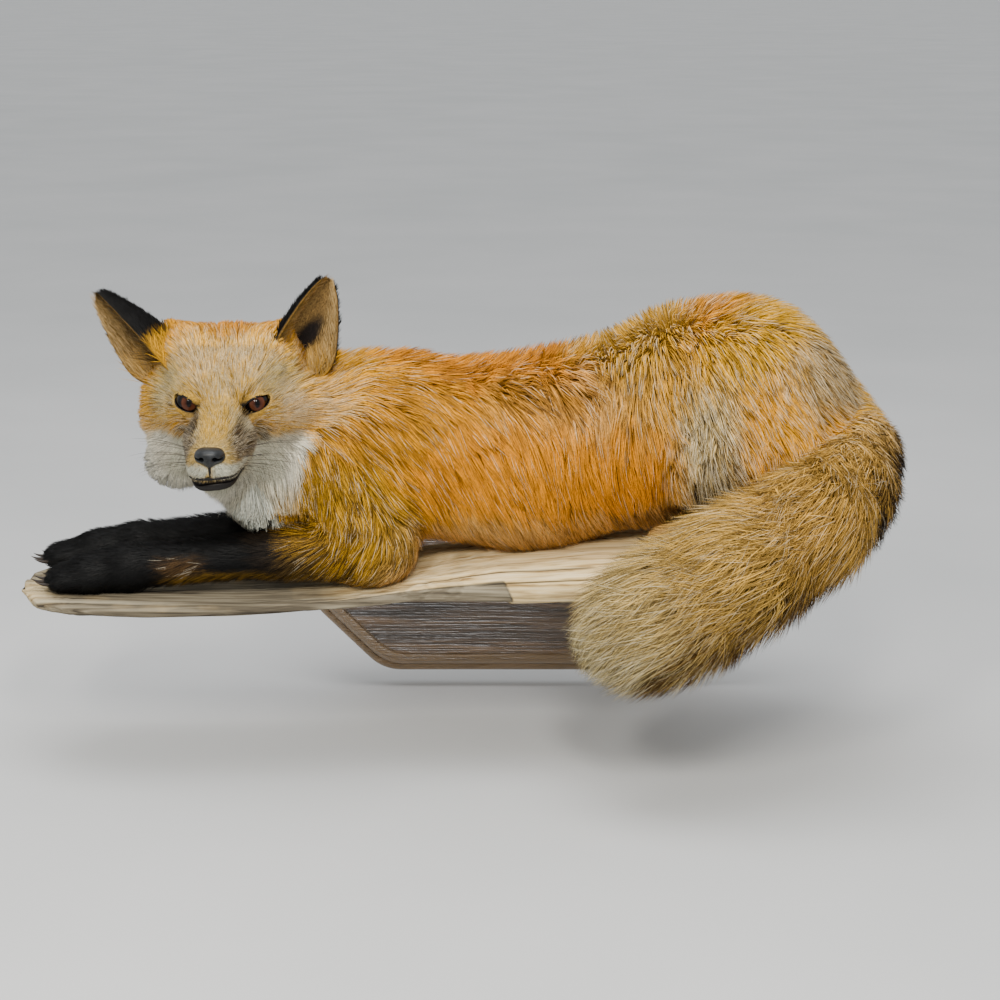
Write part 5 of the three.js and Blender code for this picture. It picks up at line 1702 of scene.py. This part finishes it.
def ear_hair(ear, material):
    """The hair of one ear, behind it and in it."""
    along = chance.random(EAR_LOCKS) ** 1.15 * 1.02 - 0.06
    over = chance.uniform(-1, 1, EAR_LOCKS)
    face = np.where(chance.random(EAR_LOCKS) < 0.5, 1.0, -1.0)
    _, upward, front, across = ear_frame(ear)
    turn = over * EAR_WRAP
    out = (np.outer(np.sin(turn), across) - np.outer(np.cos(turn), front)) * face[:, None]
    roots = leaf(ear, along, over, face)
    edge = eased(np.abs(over), 0.35, 0.9)
    inside = face < 0
    inward = -np.sign(over)[:, None] * across + 0.25 * front
    onward = upward + inside[:, None] * inward * (0.45 * edge[:, None])
    low = eased(-along, -0.34, -0.08)
    onward = unit(onward + (0.16 + 0.16 * low)[:, None] * chance.normal(size=(EAR_LOCKS, 3)))
    long = np.where(inside, 4 + (LINING - 4) * edge, VELVET) * chance.uniform(0.7, 1.15, EAR_LOCKS)
    long = long * (1 - 0.45 * np.clip(along, 0, 1)) * (1 + 0.9 * low)
    lift = np.where(inside, 0.35, 0.28)
    path = []
    for s in (0, 0.5, 1):
        rise = out * (lift * s * (1.3 - 0.6 * s))[:, None]
        path.append(roots + (onward * s + rise) * long[:, None])
    keep = (felt(path[1])[0] > 1.0) & (path[2][:, 2] > roots[:, 2] - 6)
    colour = ear_colours(ear, along, over, face)
    rim = (inside * edge * (chance.random(EAR_LOCKS) < 0.8))[:, None]
    colour = colour + (EAR_CREAM - colour) * (0.5 * rim)
    colour = colour * np.clip(1 + 0.2 * chance.normal(size=(EAR_LOCKS, 1)), 0.5, 1.6)
    colours = np.stack([colour * 0.7, colour, colour * 1.15])
    flat = np.stack([0.02 + 0.46 * (inside + np.clip(along, 0, 1)), 0.5 + 0.48 * over], 1)
    width = np.where(inside, 0.42, 0.6) * chance.uniform(0.8, 1.2, EAR_LOCKS)
    name = "coat_ear_" + ("left" if ear.side > 0 else "right")
    chosen = [np.stack(rows)[:, keep] for rows in (path, [out, out, out], colours)]
    return locks(name, chosen[0], chosen[1], width[keep], chosen[2], flat[keep], material)


for ear in ears:
    fur = ear_hair(ear, black_fur)
    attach(fur, "root")

# ---------------------------------------------------------------- floor, light and camera
# A pale seamless floor under the mount, two small soft boxes ahead of it that the glass eyes
# mirror, a broad soft light overhead, and a camera a little above the fox.

FLOOR_DROP = 12  # how far below the panel and the brush the floor lies
FLOOR_REACH = 60000
BOX_SIZE = (0.2, 0.3)  # lights are placed and sized in metres, with their power in watts
BOX_POWER = 12
BOX_WHITE = "FFFBF2"
TOP_SIZE = (1.6, 0.9)
TOP_POWER = 26
CAMERA_AT = (-31, -1722.5, 450.5)
CAMERA_LOOKS_AT = (-31, -170, 63.5)
LENS_PX = 2133  # the lens's focal length in pixels of a picture 1000 wide
SENSOR = 36


def soft_light(name, place, target, size, power, sample="FFFFFF"):
    """A flat rectangular light that faces a target."""
    lamp = bpy.data.lights.new(name, "AREA")
    lamp.shape = "RECTANGLE"
    lamp.size, lamp.size_y = size
    lamp.energy = power
    lamp.color = linear(sample)
    light = bpy.data.objects.new(name, lamp)
    light.location = place
    light.rotation_euler = (Vector(target) - Vector(place)).to_track_quat("-Z", "Y").to_euler()
    bpy.context.collection.objects.link(light)


# Smooth pale grey sheet, mottled very slightly.
sheet = mottled("pale_floor_sheet", (350, 350, 350), 4, "C4C5C5", "CCCCCC", Roughness=0.75,
                Specular_IOR_Level=0.2)  # fmt: skip
floor_z = cad_box[0][2] / MM - FLOOR_DROP
square = ((-1, -1), (1, -1), (1, 1), (-1, 1))
corners = np.array([(x * FLOOR_REACH, y * FLOOR_REACH, floor_z) for x, y in square])
floor_mesh = bpy.data.meshes.new("floor")
floor_mesh.from_pydata((corners * MM).tolist(), [], [(0, 1, 2, 3)])
floor_mesh.materials.append(sheet)
floor = bpy.data.objects.new("floor", floor_mesh)
bpy.context.collection.objects.link(floor)

soft_light("left_box", (-0.42, -1.45, 0.93), (-0.1, -0.17, 0.06), BOX_SIZE, BOX_POWER, BOX_WHITE)
soft_light("right_box", (0.06, -1.45, 0.93), (0.0, -0.17, 0.06), BOX_SIZE, BOX_POWER, BOX_WHITE)
soft_light("top_light", (-0.2, -0.5, 1.9), (0, -0.15, 0.05), TOP_SIZE, TOP_POWER)
world = bpy.data.worlds.new("studio")
world.use_nodes = True
world.node_tree.nodes["Background"].inputs["Color"].default_value = (*linear("EEF0F1"), 1)
world.node_tree.nodes["Background"].inputs["Strength"].default_value = 1.0
bpy.context.scene.world = world

lens = bpy.data.cameras.new("camera")
lens.sensor_width = SENSOR
lens.lens = LENS_PX / 1000 * SENSOR
lens.clip_end = 200
camera = bpy.data.objects.new("camera", lens)
camera.location = np.array(CAMERA_AT) * MM
aim = (Vector(CAMERA_LOOKS_AT) - Vector(CAMERA_AT)).to_track_quat("-Z", "Y")
camera.rotation_euler = aim.to_euler()
bpy.context.collection.objects.link(camera)
bpy.context.scene.camera = camera
